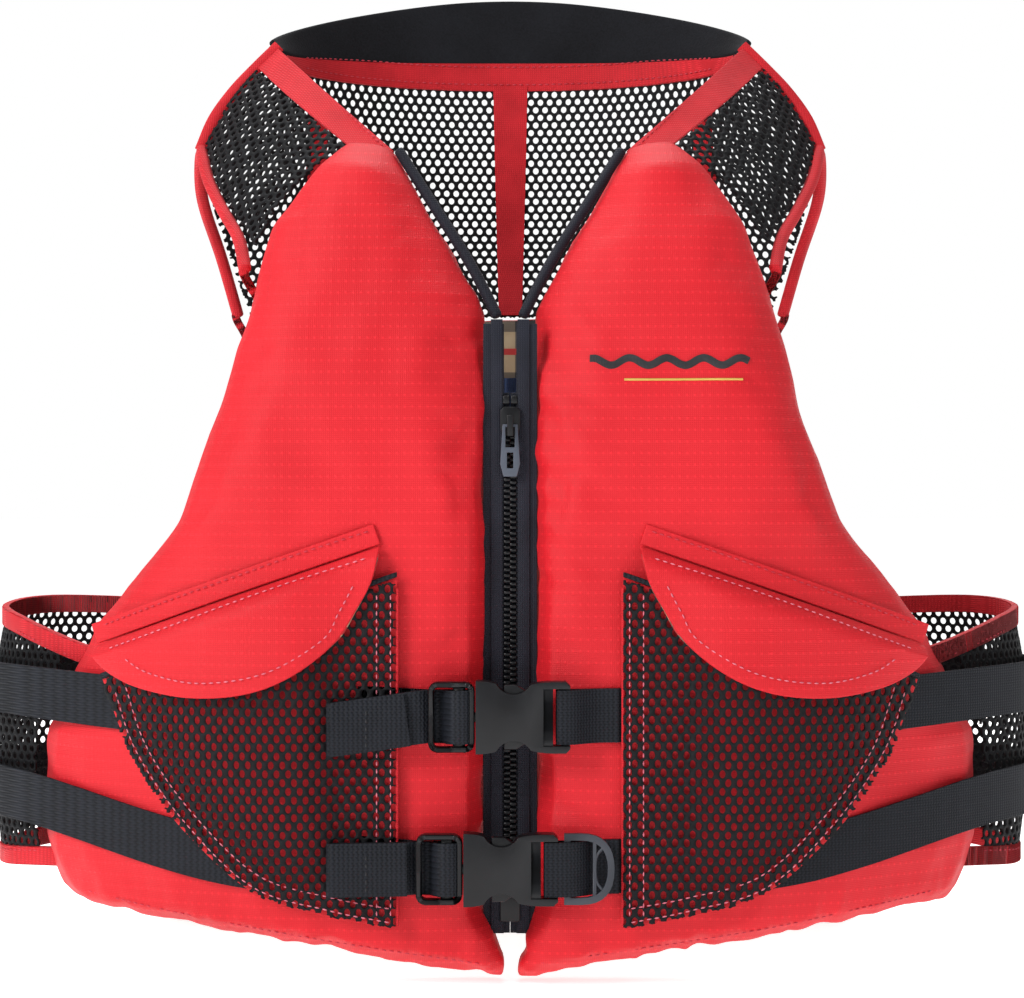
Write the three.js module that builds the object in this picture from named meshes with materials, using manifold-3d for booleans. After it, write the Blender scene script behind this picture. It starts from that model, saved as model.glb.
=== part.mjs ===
// Foam paddling vest: two padded front panels closed by a zip and two buckled straps,
// a padded back, mesh shoulders and sides, a soft collar and two flapped mesh pockets.
// Millimetres, +Z up, the front faces -Y. Pieces named _right are at +X, _left at -X.
import * as THREE from 'three';
import { mergeVertices } from 'three/addons/utils/BufferGeometryUtils.js';
import Module from 'manifold-3d';

// ---- driving sizes ----
const FIT_GAP = 0.35; // clearance between pieces that lie on each other
const FOAM_GAP = 0.45; // foam to the shell around it
const FOAM_EDGE_GAP = 1.6; // more room at the front of its side edges, inside the turned-over shell
const CLOTH = 0.6; // shell and lining cloth
const MESH_CLOTH = 1.2; // mesh fabric
const FRONT_Y = 125; // outer face of the front panels, in front of the wearer's centre
const FRONT_FLAT_HALF = 100; // half-width of the flat part of the front
const FRONT_CURVE_RUN = 168; // width over which each side bends back
const FRONT_CURVE_DROP = 95; // how far it bends back over that width
const CHEST_BREAK_Z = 215; // the front leans back above this height
const CHEST_RUN = 190;
const CHEST_LEAN = 43;
const BACK_Y = 118; // outer face of the back panel
const BACK_CURVE_HALF = 200;
const BACK_CURVE_DROP = 30;
const FOAM_FRONT = 40; // front foam thickness
const FOAM_BACK = 36; // back foam thickness
const PILLOW_RADIUS = 20; // rounding of the padded edges
const PANEL_TOP_Z = 404;
const BACK_TOP_Z = 333;
const WEBBING_WIDTH = 25.4;
const WEBBING = 1.5; // webbing thickness
const STRAP_LIFT = 1.25; // middle of the webbing above the shell
const UPPER_STRAP_Z = 130.4;
const LOWER_STRAP_Z = 59.5;
const BACKING_LIFT = 3.0; // inner face of the pocket backing above the shell
const POCKET_GAP = 0.45; // backing to pocket mesh at the sewn edges
const POCKET_BULGE = 7.5;
const POCKET_RAMP = 40; // distance over which the pocket bulges out
const FLAP_THICK = 3;
const ZIP_Y = -107; // front face of the zip tape
const TAPE = 1; // zip tape thickness
const TOOTH_IN = 0.8; // inner side of a tooth row
const TOOTH_OUT = 2.6;
const SLIDER_TOP_Z = 276;
const SLIDER_HEIGHT = 14;
const BUCKLE_BACK_Y = -130.4;
const BUCKLE_THICK = 10;
const BUCKLE_LENGTH = 44; // female body, mouth to strap bar
const PRONG_THICK = 4.6;
const UPPER_MOUTH_X = -16;
const LOWER_MOUTH_X = -21.7;

const wasm = await Module();
wasm.setup();
const vest = new THREE.Group();

// ---- solids ----
function tidy(geometry) {
  const bare = geometry.index ? geometry.clone() : mergeVertices(geometry);
  for (const name of Object.keys(bare.attributes)) {
    if (name !== 'position') bare.deleteAttribute(name);
  }
  const merged = mergeVertices(bare, 1e-4);
  const keep = dropFlatTriangles(merged);
  merged.setIndex(keep);
  if (signedVolume(merged) < 0) flip(merged);
  return merged;
}

function dropFlatTriangles(geometry) {
  const index = geometry.index.array;
  const kept = [];
  for (let i = 0; i < index.length; i += 3) {
    const [a, b, c] = [index[i], index[i + 1], index[i + 2]];
    if (a !== b && b !== c && a !== c) kept.push(a, b, c);
  }
  return kept;
}

function signedVolume(geometry) {
  const p = geometry.attributes.position;
  const index = geometry.index.array;
  const [a, b, c] = [new THREE.Vector3(), new THREE.Vector3(), new THREE.Vector3()];
  let sum = 0;
  for (let i = 0; i < index.length; i += 3) {
    a.fromBufferAttribute(p, index[i]);
    b.fromBufferAttribute(p, index[i + 1]);
    c.fromBufferAttribute(p, index[i + 2]);
    sum += a.dot(b.cross(c)) / 6;
  }
  return sum;
}

function flip(geometry) {
  const index = geometry.index.array;
  for (let i = 0; i < index.length; i += 3) {
    [index[i + 1], index[i + 2]] = [index[i + 2], index[i + 1]];
  }
}

function mirrored(geometry) {
  const copy = geometry.clone();
  copy.scale(-1, 1, 1);
  return tidy(copy);
}

function toManifold(geometry) {
  const g = tidy(geometry);
  return new wasm.Manifold(new wasm.Mesh({
    numProp: 3,
    vertProperties: new Float32Array(g.attributes.position.array),
    triVerts: new Uint32Array(g.index.array),
  }));
}

function fromManifold(solid) {
  const mesh = solid.getMesh();
  const geometry = new THREE.BufferGeometry();
  geometry.setAttribute('position', new THREE.BufferAttribute(mesh.vertProperties, 3));
  geometry.setIndex(Array.from(mesh.triVerts));
  return geometry;
}

function joined(...geometries) {
  return fromManifold(geometries.map(toManifold).reduce((a, b) => a.add(b)));
}

function cut(body, ...tools) {
  return fromManifold(tools.map(toManifold).reduce((a, b) => a.subtract(b), toManifold(body)));
}

function block(x0, x1, y0, y1, z0, z1) {
  const box = new THREE.BoxGeometry(x1 - x0, y1 - y0, z1 - z0);
  box.translate((x0 + x1) / 2, (y0 + y1) / 2, (z0 + z1) / 2);
  return box;
}

function add(name, geometry, material) {
  const mesh = new THREE.Mesh(tidy(geometry), material);
  mesh.name = name;
  vest.add(mesh);
}

function addPair(name, geometry, material) {
  add(`${name}_right`, geometry, material);
  add(`${name}_left`, mirrored(geometry), material);
}

// ---- curves, patches and sheets ----
function smooth(...points) {
  return new THREE.CatmullRomCurve3(points.map((p) => new THREE.Vector3(...p)), false, 'centripetal');
}

function evenly(curve) {
  return (t) => curve.getPointAt(THREE.MathUtils.clamp(t, 0, 1));
}

function byPoint(curve) {
  return (t) => curve.getPoint(THREE.MathUtils.clamp(t, 0, 1));
}

// A surface stretched between four edges: low and high run across, start and end run up.
function stretched(low, high, start, end) {
  return (u, v) => {
    const across = low(u).lerp(high(u), v);
    const up = start(v).lerp(end(v), u);
    const bottom = low(0).lerp(low(1), u);
    const top = high(0).lerp(high(1), u);
    return across.add(up).sub(bottom.lerp(top, v));
  };
}

function steepest(surface, u, v, out) {
  const e = 0.004;
  const du = surface(Math.min(1, u + e), v).sub(surface(Math.max(0, u - e), v));
  const dv = surface(u, Math.min(1, v + e)).sub(surface(u, Math.max(0, v - e)));
  return du.cross(dv).normalize().multiplyScalar(out);
}

// A closed sheet whose two faces lie at the given lifts off a surface.
function sheetOn(place, acrossStops, upStops, lowLift, highLift) {
  const [nu, nv] = [acrossStops.length - 1, upStops.length - 1];
  const box = new THREE.BoxGeometry(1, 1, 1, nu, nv, 1);
  const p = box.attributes.position;
  for (let k = 0; k < p.count; k += 1) {
    const i = Math.round((p.getX(k) + 0.5) * nu);
    const j = Math.round((p.getY(k) + 0.5) * nv);
    const lift = p.getZ(k) > 0 ? highLift : lowLift;
    const spot = place(acrossStops[i], upStops[j], lift);
    p.setXYZ(k, spot.x, spot.y, spot.z);
  }
  matchDiagonals(box);
  return box;
}

// Splits the low face's squares the same way as the high face's, so stacked sheets stay parallel.
function matchDiagonals(box) {
  const { start, count } = box.groups[5];
  const index = box.index.array;
  for (let q = start; q < start + count; q += 6) {
    const [a, b, d, c] = [index[q], index[q + 1], index[q + 2], index[q + 4]];
    index.set([a, b, c, a, c, d], q);
  }
}

function stops(from, to, count) {
  return Array.from({ length: count + 1 }, (_, i) => from + ((to - from) * i) / count);
}

function lifted(surface, out) {
  return (u, v, lift) => {
    const point = surface(u, v);
    return point.add(steepest(surface, u, v, out).multiplyScalar(lift));
  };
}

// Flat strip following a plan path, standing from zLow to zHigh.
function ribbon(path, thickness, zLow, zHigh) {
  const sideOf = (i) => {
    const before = path[Math.max(0, i - 1)];
    const after = path[Math.min(path.length - 1, i + 1)];
    const a = new THREE.Vector2(path[i][0] - before[0], path[i][1] - before[1]).normalize();
    const b = new THREE.Vector2(after[0] - path[i][0], after[1] - path[i][1]).normalize();
    const along = a.clone().add(b).normalize();
    const tight = Math.max(0.5, along.dot(a.lengthSq() > 0 ? a : b));
    return new THREE.Vector2(-along.y, along.x).multiplyScalar(thickness / 2 / tight);
  };
  const near = path.map(([x, y], i) => new THREE.Vector2(x, y).add(sideOf(i)));
  const far = path.map(([x, y], i) => new THREE.Vector2(x, y).sub(sideOf(i)));
  const outline = new THREE.Shape([...near, ...far.reverse()]);
  const strip = new THREE.ExtrudeGeometry(outline, { depth: zHigh - zLow, bevelEnabled: false });
  strip.translate(0, 0, zLow);
  return strip;
}

function slope(geometry, riseAt) {
  const p = geometry.attributes.position;
  for (let k = 0; k < p.count; k += 1) p.setZ(k, p.getZ(k) + riseAt(p.getX(k)));
  return geometry;
}

function rounded(curve, radius, steps) {
  const ring = new THREE.Shape().absarc(0, 0, radius, 0, Math.PI * 2);
  return new THREE.ExtrudeGeometry(ring, {
    steps, curveSegments: 3, bevelEnabled: false, extrudePath: curve,
  });
}

// An outline in the X-Z plane made thick from yFront back by depth.
function plateXZ(outline, yFront, depth) {
  const plate = new THREE.ExtrudeGeometry(outline, { depth, bevelEnabled: false, curveSegments: 8 });
  plate.rotateX(Math.PI / 2);
  plate.translate(0, yFront + depth, 0);
  return plate;
}

// ---- the body's own surfaces ----
function frontDepth(x, z) {
  const side = Math.max(0, Math.abs(x) - FRONT_FLAT_HALF) / FRONT_CURVE_RUN;
  const chest = Math.max(0, z - CHEST_BREAK_Z) / CHEST_RUN;
  return -FRONT_Y + FRONT_CURVE_DROP * side ** 2 + CHEST_LEAN * chest ** 1.5;
}

function backDepth(x) {
  return BACK_Y - BACK_CURVE_DROP * (x / BACK_CURVE_HALF) ** 2;
}

function distanceTo(outline, x, z) {
  let best = Infinity;
  for (let i = 0; i + 1 < outline.length; i += 1) {
    const [a, b] = [outline[i], outline[i + 1]];
    const run = (b.x - a.x) ** 2 + (b.z - a.z) ** 2;
    const along = run ? ((x - a.x) * (b.x - a.x) + (z - a.z) * (b.z - a.z)) / run : 0;
    const t = THREE.MathUtils.clamp(along, 0, 1);
    best = Math.min(best, Math.hypot(a.x + (b.x - a.x) * t - x, a.z + (b.z - a.z) * t - z));
  }
  return best;
}

function edgeDrop(distance, radius) {
  if (distance >= radius) return 0;
  const t = 1 - distance / radius;
  return radius * (1 - Math.sqrt(Math.max(0, 1 - t * t)));
}

// ---- padded panels: shell, foam and lining share one outline ----
const SKIRT = 0.5; // a stop this far beyond an edge stands for the turned-over skirt
const SKIRT_FLARE = 0.6;
const SKIRT_DEPTH = 15.5;

function paddedPanel({ low, high, start, end, depth, out, foam, acrossStops, upStops }) {
  const flat = stretched(low, high, start, end);
  const fine = stops(0, 1, 24);
  const outline = [
    ...fine.map((t) => low(t)), ...fine.map((t) => end(t)),
    ...fine.map((t) => high(1 - t)), ...fine.map((t) => start(1 - t)),
  ];
  const outer = (u, v) => {
    const point = flat(u, v);
    const edge = edgeDrop(distanceTo(outline, point.x, point.z), PILLOW_RADIUS);
    return point.setY(depth(point.x, point.z) - out * edge);
  };
  const sideways = (u, v) => {
    const [cu, cv] = [THREE.MathUtils.clamp(u, 0, 1), THREE.MathUtils.clamp(v, 0, 1)];
    const here = flat(cu, cv);
    const away = new THREE.Vector3();
    if (u <= 0) away.add(here.clone().sub(flat(0.02, cv)).normalize());
    if (u >= 1) away.add(here.clone().sub(flat(0.98, cv)).normalize());
    if (v <= 0) away.add(here.clone().sub(flat(cu, 0.02)).normalize());
    if (v >= 1) away.add(here.clone().sub(flat(cu, 0.98)).normalize());
    return away.setY(0).normalize();
  };
  const facing = -out; // across runs +X and up runs +Z, so their cross points to -Y
  const shellAt = (u, v, lift) => {
    if (u >= 0 && u <= 1 && v >= 0 && v <= 1) {
      return outer(u, v).add(steepest(outer, u, v, facing).multiplyScalar(lift));
    }
    const [cu, cv] = [THREE.MathUtils.clamp(u, 0, 1), THREE.MathUtils.clamp(v, 0, 1)];
    const edge = outer(cu, cv);
    edge.y -= out * SKIRT_DEPTH;
    return edge.add(sideways(u, v).multiplyScalar(SKIRT_FLARE + lift));
  };
  const innerFace = -(CLOTH + FOAM_GAP);
  const onEdge = (u, v) => u <= 0 || u >= 1 || v <= 0 || v >= 1;
  const atBack = (u, v, inset, extra) => {
    const point = flat(u, v);
    const far = foam + extra - edgeDrop(distanceTo(outline, point.x, point.z), PILLOW_RADIUS) * 0.3;
    if (onEdge(u, v)) point.sub(sideways(u, v).multiplyScalar(inset));
    return point.setY(depth(point.x, point.z) - out * far);
  };
  const skirtedAcross = [-SKIRT, ...acrossStops, 1 + SKIRT];
  const skirtedUp = [-SKIRT, ...upStops, 1 + SKIRT];
  const foamFront = (u, v) => {
    const point = shellAt(u, v, innerFace);
    if (u > 0 && u < 1) return point;
    const beside = THREE.MathUtils.clamp(v, 0.001, 0.999);
    return point.sub(sideways(u, beside).multiplyScalar(FOAM_EDGE_GAP));
  };
  const foamAt = (u, v, lift) => (lift > 0 ? foamFront(u, v) : atBack(u, v, -innerFace, 0));
  const liningAt = (u, v, lift) => atBack(u, v, FIT_GAP + 0.1, lift);
  return {
    shell: sheetOn(shellAt, skirtedAcross, skirtedUp, -CLOTH, 0),
    foam: sheetOn(foamAt, acrossStops, upStops, 0, 1),
    lining: sheetOn(liningAt, acrossStops, upStops, FIT_GAP + CLOTH, FIT_GAP),
  };
}

// ---- materials ----
function cloth(color, roughness = 0.85) {
  return new THREE.MeshStandardMaterial({ color, roughness, metalness: 0 });
}
const RED = cloth(0xd0242e, 0.6);
const TRIM_RED = cloth(0xb81f28, 0.7);
const BLACK_MESH = cloth(0x1a1a1c, 0.9);
const WEBBING_BLACK = cloth(0x17171a, 0.75);
const NEOPRENE = cloth(0x202022, 0.95);
const NAVY = cloth(0x1c2140, 0.7);
const PLAID = cloth(0xa88f6c, 0.9);
const FOAM = cloth(0xd8d8d4, 0.9);
const PLASTIC = cloth(0x121214, 0.4);
const PULL_GREY = cloth(0x59606e, 0.5);
const WHITE = cloth(0xe9e6e2, 0.7);

// ---- front panels ----
const ZIP_EDGE_X = 9.4;
const INNER_EDGE = [
  [1.6, 0, 0], [2.6, 0, 13], [7.6, 0, 24], [ZIP_EDGE_X, 0, 36], [ZIP_EDGE_X, 0, 60],
  [ZIP_EDGE_X, 0, 120], [ZIP_EDGE_X, 0, 220],
  [ZIP_EDGE_X + 0.4, 0, 318], [22, 0, 345], [42, 0, 377], [58, 0, PANEL_TOP_Z - 1],
];
const OUTER_EDGE = [
  [220, 0, 29], [234, 0, 47], [239, 0, 83], [235, 0, 122], [220, 0, 156], [194, 0, 182], [171, 0, 204],
  [157, 0, 232], [149, 0, 256], [139, 0, 285], [131, 0, 315], [127, 0, 348], [115, 0, 371], [101, 0, 389],
  [82, 0, PANEL_TOP_Z + 1],
];
const BOTTOM_EDGE = [[1.6, 0, 0], [62, 0, 10.5], [120, 0, 20], [179, 0, 28], [220, 0, 29]];
const TOP_EDGE = [[58, 0, PANEL_TOP_Z - 1], [70, 0, PANEL_TOP_Z + 1], [82, 0, PANEL_TOP_Z + 1]];
const front = paddedPanel({
  low: evenly(smooth(...BOTTOM_EDGE)),
  high: evenly(smooth(...TOP_EDGE)),
  start: evenly(smooth(...INNER_EDGE)),
  end: evenly(smooth(...OUTER_EDGE)),
  depth: frontDepth,
  out: -1,
  foam: FOAM_FRONT,
  acrossStops: [0, 0.045, 0.13, 0.32, 0.5, 0.68, 0.87, 0.955, 1],
  upStops: [0, 0.025, 0.09, 0.21, 0.36, 0.52, 0.66, 0.78, 0.88, 0.96, 1],
});
addPair('front_shell', front.shell, RED);
addPair('front_foam', front.foam, FOAM);
addPair('front_lining', front.lining, PLAID);

// ---- back panel ----
const BACK_SIDE = [
  [185, 0, 0], [197, 0, 25], [201, 0, 60], [201, 0, 110], [194, 0, 155], [180, 0, 195],
  [166, 0, 240], [154, 0, 290], [148, 0, BACK_TOP_Z],
];
const flipX = ([x, y, z]) => [-x, y, z];
const back = paddedPanel({
  low: evenly(smooth([-185, 0, 0], [0, 0, 0], [185, 0, 0])),
  high: evenly(smooth([-148, 0, BACK_TOP_Z], [0, 0, BACK_TOP_Z], [148, 0, BACK_TOP_Z])),
  start: evenly(smooth(...BACK_SIDE.map(flipX))),
  end: evenly(smooth(...BACK_SIDE)),
  depth: backDepth,
  out: 1,
  foam: FOAM_BACK,
  acrossStops: [0, 0.02, 0.06, 0.16, 0.33, 0.5, 0.67, 0.84, 0.94, 0.98, 1],
  upStops: [0, 0.02, 0.07, 0.25, 0.45, 0.62, 0.8, 0.93, 0.98, 1],
});
add('back_shell', back.shell, RED);
add('back_foam', back.foam, FOAM);
add('back_lining', back.lining, PLAID);

// ---- shoulders, neck and collar ----
const NECK_END = [124, 14, 472];
const SHOULDER_TIP = [163, 5, 416];
const NECK_ARC = [
  NECK_END, [119, 42, 471], [103, 66, 471], [80, 84, 471], [54, 96, 471], [28, 102, 471], [0, 104, 471],
];
const BAND_HEIGHT = 11;
const rimY = (x, z) => frontDepth(x, z) + PILLOW_RADIUS + 2;
const panelRim = [[58, 405.2], [80, 406.6], [102.4, 391], [116.6, 373], [127.6, 350.4]]
  .map(([x, z]) => [x, rimY(x, z), z]);
const neckFront = smooth(panelRim[0], [92, -32, 438], NECK_END);
const armholeFront = smooth(panelRim[4], [147, -35, 380], [158, -12, 400], SHOULDER_TIP);
const ridge = smooth(NECK_END, [146, 12, 448], SHOULDER_TIP);
const shoulder = stretched(
  evenly(smooth(...panelRim)), evenly(ridge), evenly(neckFront), evenly(armholeFront),
);
const onShoulder = lifted(shoulder, 1);
addPair('neck_strap', sheetOn(onShoulder, [0, 0.105, 0.212], stops(0, 0.985, 6), -0.8, 0.8), TRIM_RED);
addPair(
  'shoulder_mesh',
  sheetOn(onShoulder, stops(0.22, 0.945, 4), stops(0.005, 0.985, 6), -0.6, 0.6),
  BLACK_MESH,
);

const BACK_MID = backDepth(0) - PILLOW_RADIUS - 6;
const backRim = stops(-1, 1, 12).map((t) => {
  const x = 149 * t;
  return [x, BACK_MID - BACK_CURVE_DROP * (x / BACK_CURVE_HALF) ** 2, BACK_TOP_Z + 1];
});
const armholeBack = [backRim[12], [160, 66, 365], [167, 34, 396], SHOULDER_TIP];
const backTop = [
  SHOULDER_TIP, [146, 12, 448], ...NECK_ARC, ...NECK_ARC.slice(0, -1).reverse().map(flipX),
  [-146, 12, 448], flipX(SHOULDER_TIP),
].reverse();
const upperBack = stretched(
  byPoint(smooth(...backRim)),
  byPoint(smooth(...backTop)),
  byPoint(smooth(...armholeBack.map(flipX))),
  byPoint(smooth(...armholeBack)),
);
const onUpperBack = lifted(upperBack, -1);
add('back_mesh', sheetOn(onUpperBack, stops(0.013, 0.987, 16), stops(0, 0.993, 6), -0.6, 0.6), BLACK_MESH);
add(
  'back_centre_tape',
  sheetOn(onUpperBack, [0.478, 0.5, 0.522], stops(0.01, 0.97, 6), -2.1, -1.2),
  TRIM_RED,
);

function bandAround(low, high, lift, thickness, across, up) {
  const wall = stretched(low, high, (v) => low(0).lerp(high(0), v), (v) => low(1).lerp(high(1), v));
  return sheetOn(lifted(wall, -1), stops(0, 1, across), stops(0, 1, up), lift, lift + thickness);
}
function neckLoop(riseEnds, riseRear, spread) {
  const ease = (i) => Math.sin((i / (NECK_ARC.length - 1)) * Math.PI / 2);
  const half = NECK_ARC.map(([x, y, z], i) => [
    x * spread, 14 + (y - 14) * spread, z + riseEnds + (riseRear - riseEnds) * ease(i),
  ]);
  const left = half.slice().map(flipX);
  return byPoint(smooth(...left, ...half.slice(0, -1).reverse()));
}
add(
  'neck_binding',
  bandAround(neckLoop(0.7, 0.7, 1), neckLoop(3, BAND_HEIGHT + 1, 1.005), -1.2, 2.4, 18, 1),
  TRIM_RED,
);
add(
  'collar',
  bandAround(neckLoop(3.6, BAND_HEIGHT + 1.8, 1.005), neckLoop(8, 45, 1.03), -1.8, 3.6, 20, 3),
  NEOPRENE,
);

const armholePath = smooth(
  [130.5, rimY(128, 348) - 2, 345],
  ...[0.2, 0.4, 0.6, 0.8, 1].map((t) => armholeFront.getPointAt(t).toArray()),
  armholeBack[2], armholeBack[1], [152, BACK_MID - 18.5, BACK_TOP_Z + 1.5],
);
addPair('armhole_binding', rounded(armholePath, 2.2, 20), TRIM_RED);

const PIPING_RADIUS = 1.8;
const pipingPath = smooth(...[[6.4, 321.2], [19.1, 346.4], [38.9, 378.6], [55.1, 404.7]]
  .map(([x, z]) => [x, rimY(x, z) - 6, z]));
addPair('neck_piping', rounded(pipingPath, PIPING_RADIUS, 8), NAVY);

// ---- sides ----
const sideFrontEdge = [[238, 52], [241, 84], [237, 122], [222.5, 157]]
  .map(([x, z]) => [x, frontDepth(x, z) + PILLOW_RADIUS, z]);
const sideBackEdge = [[202.5, 52], [203.5, 90], [200, 135], [190.5, 172]]
  .map(([x, z]) => [x, backDepth(x) - FOAM_BACK / 2, z]);
const sideLow = smooth(sideFrontEdge[0], [259, -22, 50], [266, 10, 49], [250, 48, 50], sideBackEdge[0]);
const sideHigh = smooth(sideFrontEdge[3], [248, -30, 166], [265, 4, 172], [249, 46, 175], sideBackEdge[3]);
const side = stretched(
  evenly(sideLow), evenly(sideHigh), evenly(smooth(...sideFrontEdge)), evenly(smooth(...sideBackEdge)),
);
const onSide = lifted(side, 1);
addPair('side_mesh', sheetOn(onSide, stops(0, 1, 10), stops(0, 1, 5), -0.6, 0.6), BLACK_MESH);
const SIDE_PIPE = 2.4;
const raised = (curve, rise) => smooth(...curve.points.map(({ x, y, z }) => [x, y, z + rise]));
addPair('side_top_binding', rounded(raised(sideHigh, SIDE_PIPE + 0.6), SIDE_PIPE, 12), TRIM_RED);
addPair('side_bottom_binding', rounded(raised(sideLow, -SIDE_PIPE - 0.6), SIDE_PIPE, 12), TRIM_RED);
add('side_tab', sheetOn(onSide, stops(0.34, 0.46, 2), [0.45, 0.56], 1.1, 2), WHITE);

// ---- zip ----
const TAPE_LOW_Z = 44;
addPair(
  'zipper_tape',
  block(TOOTH_OUT + 0.3, ZIP_EDGE_X - SKIRT_FLARE - FIT_GAP, ZIP_Y, ZIP_Y + TAPE, TAPE_LOW_Z, 316),
  NAVY,
);
addPair(
  'zipper_teeth',
  block(TOOTH_IN, TOOTH_OUT, ZIP_Y - 1.2, ZIP_Y + 2.2, TAPE_LOW_Z, SLIDER_TOP_Z - 2),
  NAVY,
);
add('zipper_box', block(-4.8, 4.8, ZIP_Y - 2.2, ZIP_Y + 3, 30, TAPE_LOW_Z - FIT_GAP), PLASTIC);

const sliderLow = SLIDER_TOP_Z - SLIDER_HEIGHT;
const SLIDER_FRONT = ZIP_Y - 3.2;
const BAIL_Z = sliderLow + 4;
const PULL_THICK = 1.3;
const PULL_LENGTH = 25;
const PULL_AXIS_Y = SLIDER_FRONT - 1.3;
const PULL_AXIS_Z = BAIL_Z + 1;
function sliderBody() {
  const outline = new THREE.Shape();
  outline.moveTo(-3.6, sliderLow);
  outline.lineTo(3.6, sliderLow);
  outline.lineTo(4.8, sliderLow + 5);
  outline.lineTo(4.8, SLIDER_TOP_Z - 2);
  outline.lineTo(3.2, SLIDER_TOP_Z);
  outline.lineTo(-3.2, SLIDER_TOP_Z);
  outline.lineTo(-4.8, SLIDER_TOP_Z - 2);
  outline.lineTo(-4.8, sliderLow + 5);
  outline.closePath();
  const whole = plateXZ(outline, SLIDER_FRONT, 7.4);
  const channel = (x0, x1) => block(x0, x1, ZIP_Y - 1.6, ZIP_Y + 2.6, sliderLow - 1, SLIDER_TOP_Z + 1);
  const leg = (z) => block(-1.4, 1.4, SLIDER_FRONT - 3.6, SLIDER_FRONT + 0.5, z, z + 1.2);
  const bridge = block(-1.4, 1.4, SLIDER_FRONT - 3.6, SLIDER_FRONT - 2.4, BAIL_Z - 4, BAIL_Z + 6);
  return joined(
    cut(whole, channel(0.5, 6), channel(-6, -0.5)), leg(BAIL_Z - 4), leg(BAIL_Z + 4.8), bridge,
  );
}
add('zipper_slider', sliderBody(), PULL_GREY);

function pullTab() {
  const top = PULL_AXIS_Z + PULL_THICK / 2;
  const outline = new THREE.Shape();
  outline.moveTo(-3.6, top);
  outline.lineTo(3.6, top);
  outline.lineTo(4.75, top - 19);
  outline.lineTo(3.2, top - PULL_LENGTH);
  outline.lineTo(-3.2, top - PULL_LENGTH);
  outline.lineTo(-4.75, top - 19);
  outline.closePath();
  const front0 = PULL_AXIS_Y - PULL_THICK / 2;
  const plate = plateXZ(outline, front0, PULL_THICK);
  const eye = block(-2.2, 2.2, front0 - 1, front0 + 3, top - 11, top - PULL_THICK);
  const slot = block(-1.5, 1.5, front0 - 1, front0 + 3, top - 21, top - 13.5);
  return cut(plate, eye, slot);
}
add('zipper_pull', pullTab(), PULL_GREY);

// ---- pockets and flaps, on the +X side ----
function curveXZ(...points) {
  return evenly(smooth(...points.map(([x, z]) => [x, 0, z])));
}
const POCKET_IN = [[53, 30], [53, 112], [53, 195]];
const POCKET_OUT = [[157, 78], [181, 112], [195, 145]];
const POCKET_LOW = [[53, 30], [85, 36], [121, 47], [157, 78]];
const POCKET_MOUTH = [[53, 195], [125, 170], [195, 145]];
const pocketFlat = stretched(
  curveXZ(...POCKET_LOW), curveXZ(...POCKET_MOUTH), curveXZ(...POCKET_IN), curveXZ(...POCKET_OUT),
);
const sewnSides = [POCKET_IN.slice().reverse(), POCKET_LOW, POCKET_OUT]
  .flatMap((run) => stops(0, 1, 12).map((t) => curveXZ(...run)(t)));
const LOW_MOUTH = 0.8; // the elastic draws the mouth in to this share of the bulge
const MOUTH_DRAW = 40; // how far below the mouth the elastic draws
const MOUTH_Z = 213.7; // the mouth line, carried on to the zip
const MOUTH_SLOPE = -0.352;
const SEWN_STRIP = 4;
const BUCKLE_CLEAR = [74, 104]; // the pocket starts to bulge past the buckle

function pocketBulge(x, z) {
  const near = Math.min(1, Math.max(0, distanceTo(sewnSides, x, z) - SEWN_STRIP) / POCKET_RAMP);
  const mouthZ = MOUTH_Z + MOUTH_SLOPE * x;
  const drawn = 1 - (1 - LOW_MOUTH) * THREE.MathUtils.smoothstep(z, mouthZ - MOUTH_DRAW, mouthZ);
  const pastBuckle = THREE.MathUtils.smoothstep(x, ...BUCKLE_CLEAR);
  return POCKET_BULGE * Math.sin((near * Math.PI) / 2) * drawn * pastBuckle;
}

function offFront(x, z, lift) {
  const e = 0.5;
  const dx = (frontDepth(x + e, z) - frontDepth(x - e, z)) / (2 * e);
  const dz = (frontDepth(x, z + e) - frontDepth(x, z - e)) / (2 * e);
  const normal = new THREE.Vector3(dx, -1, dz).normalize();
  return new THREE.Vector3(x, frontDepth(x, z), z).add(normal.multiplyScalar(lift));
}

const BACKING_TOP = BACKING_LIFT + CLOTH;
const MESH_LIFT = BACKING_TOP + POCKET_GAP;
const backingAt = (u, v, lift) => {
  const { x, z } = pocketFlat(u, v);
  return offFront(x, z, BACKING_LIFT + lift);
};
const meshAt = (u, v, lift) => {
  const { x, z } = pocketFlat(u, v);
  return offFront(x, z, MESH_LIFT + pocketBulge(x, z) + lift);
};
const POCKET_ACROSS = stops(0, 1, 9);
const POCKET_UP = [0, 0.12, 0.3, 0.5, 0.7, 0.87, 1];
addPair('pocket_backing', sheetOn(backingAt, POCKET_ACROSS, POCKET_UP, 0, CLOTH), RED);
addPair('pocket_mesh', sheetOn(meshAt, POCKET_ACROSS, POCKET_UP, 0, MESH_CLOTH), BLACK_MESH);

const ELASTIC_HEIGHT = 2.6;
const ELASTIC_THICK = 1.4;
const elasticAt = (u, v, lift) => {
  const { x, z } = pocketFlat(u, 1);
  return offFront(x, z + FIT_GAP + ELASTIC_HEIGHT * v, MESH_LIFT + pocketBulge(x, z) + lift);
};
addPair('pocket_elastic', sheetOn(elasticAt, POCKET_ACROSS, [0, 1], -0.1, ELASTIC_THICK), WEBBING_BLACK);

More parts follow.
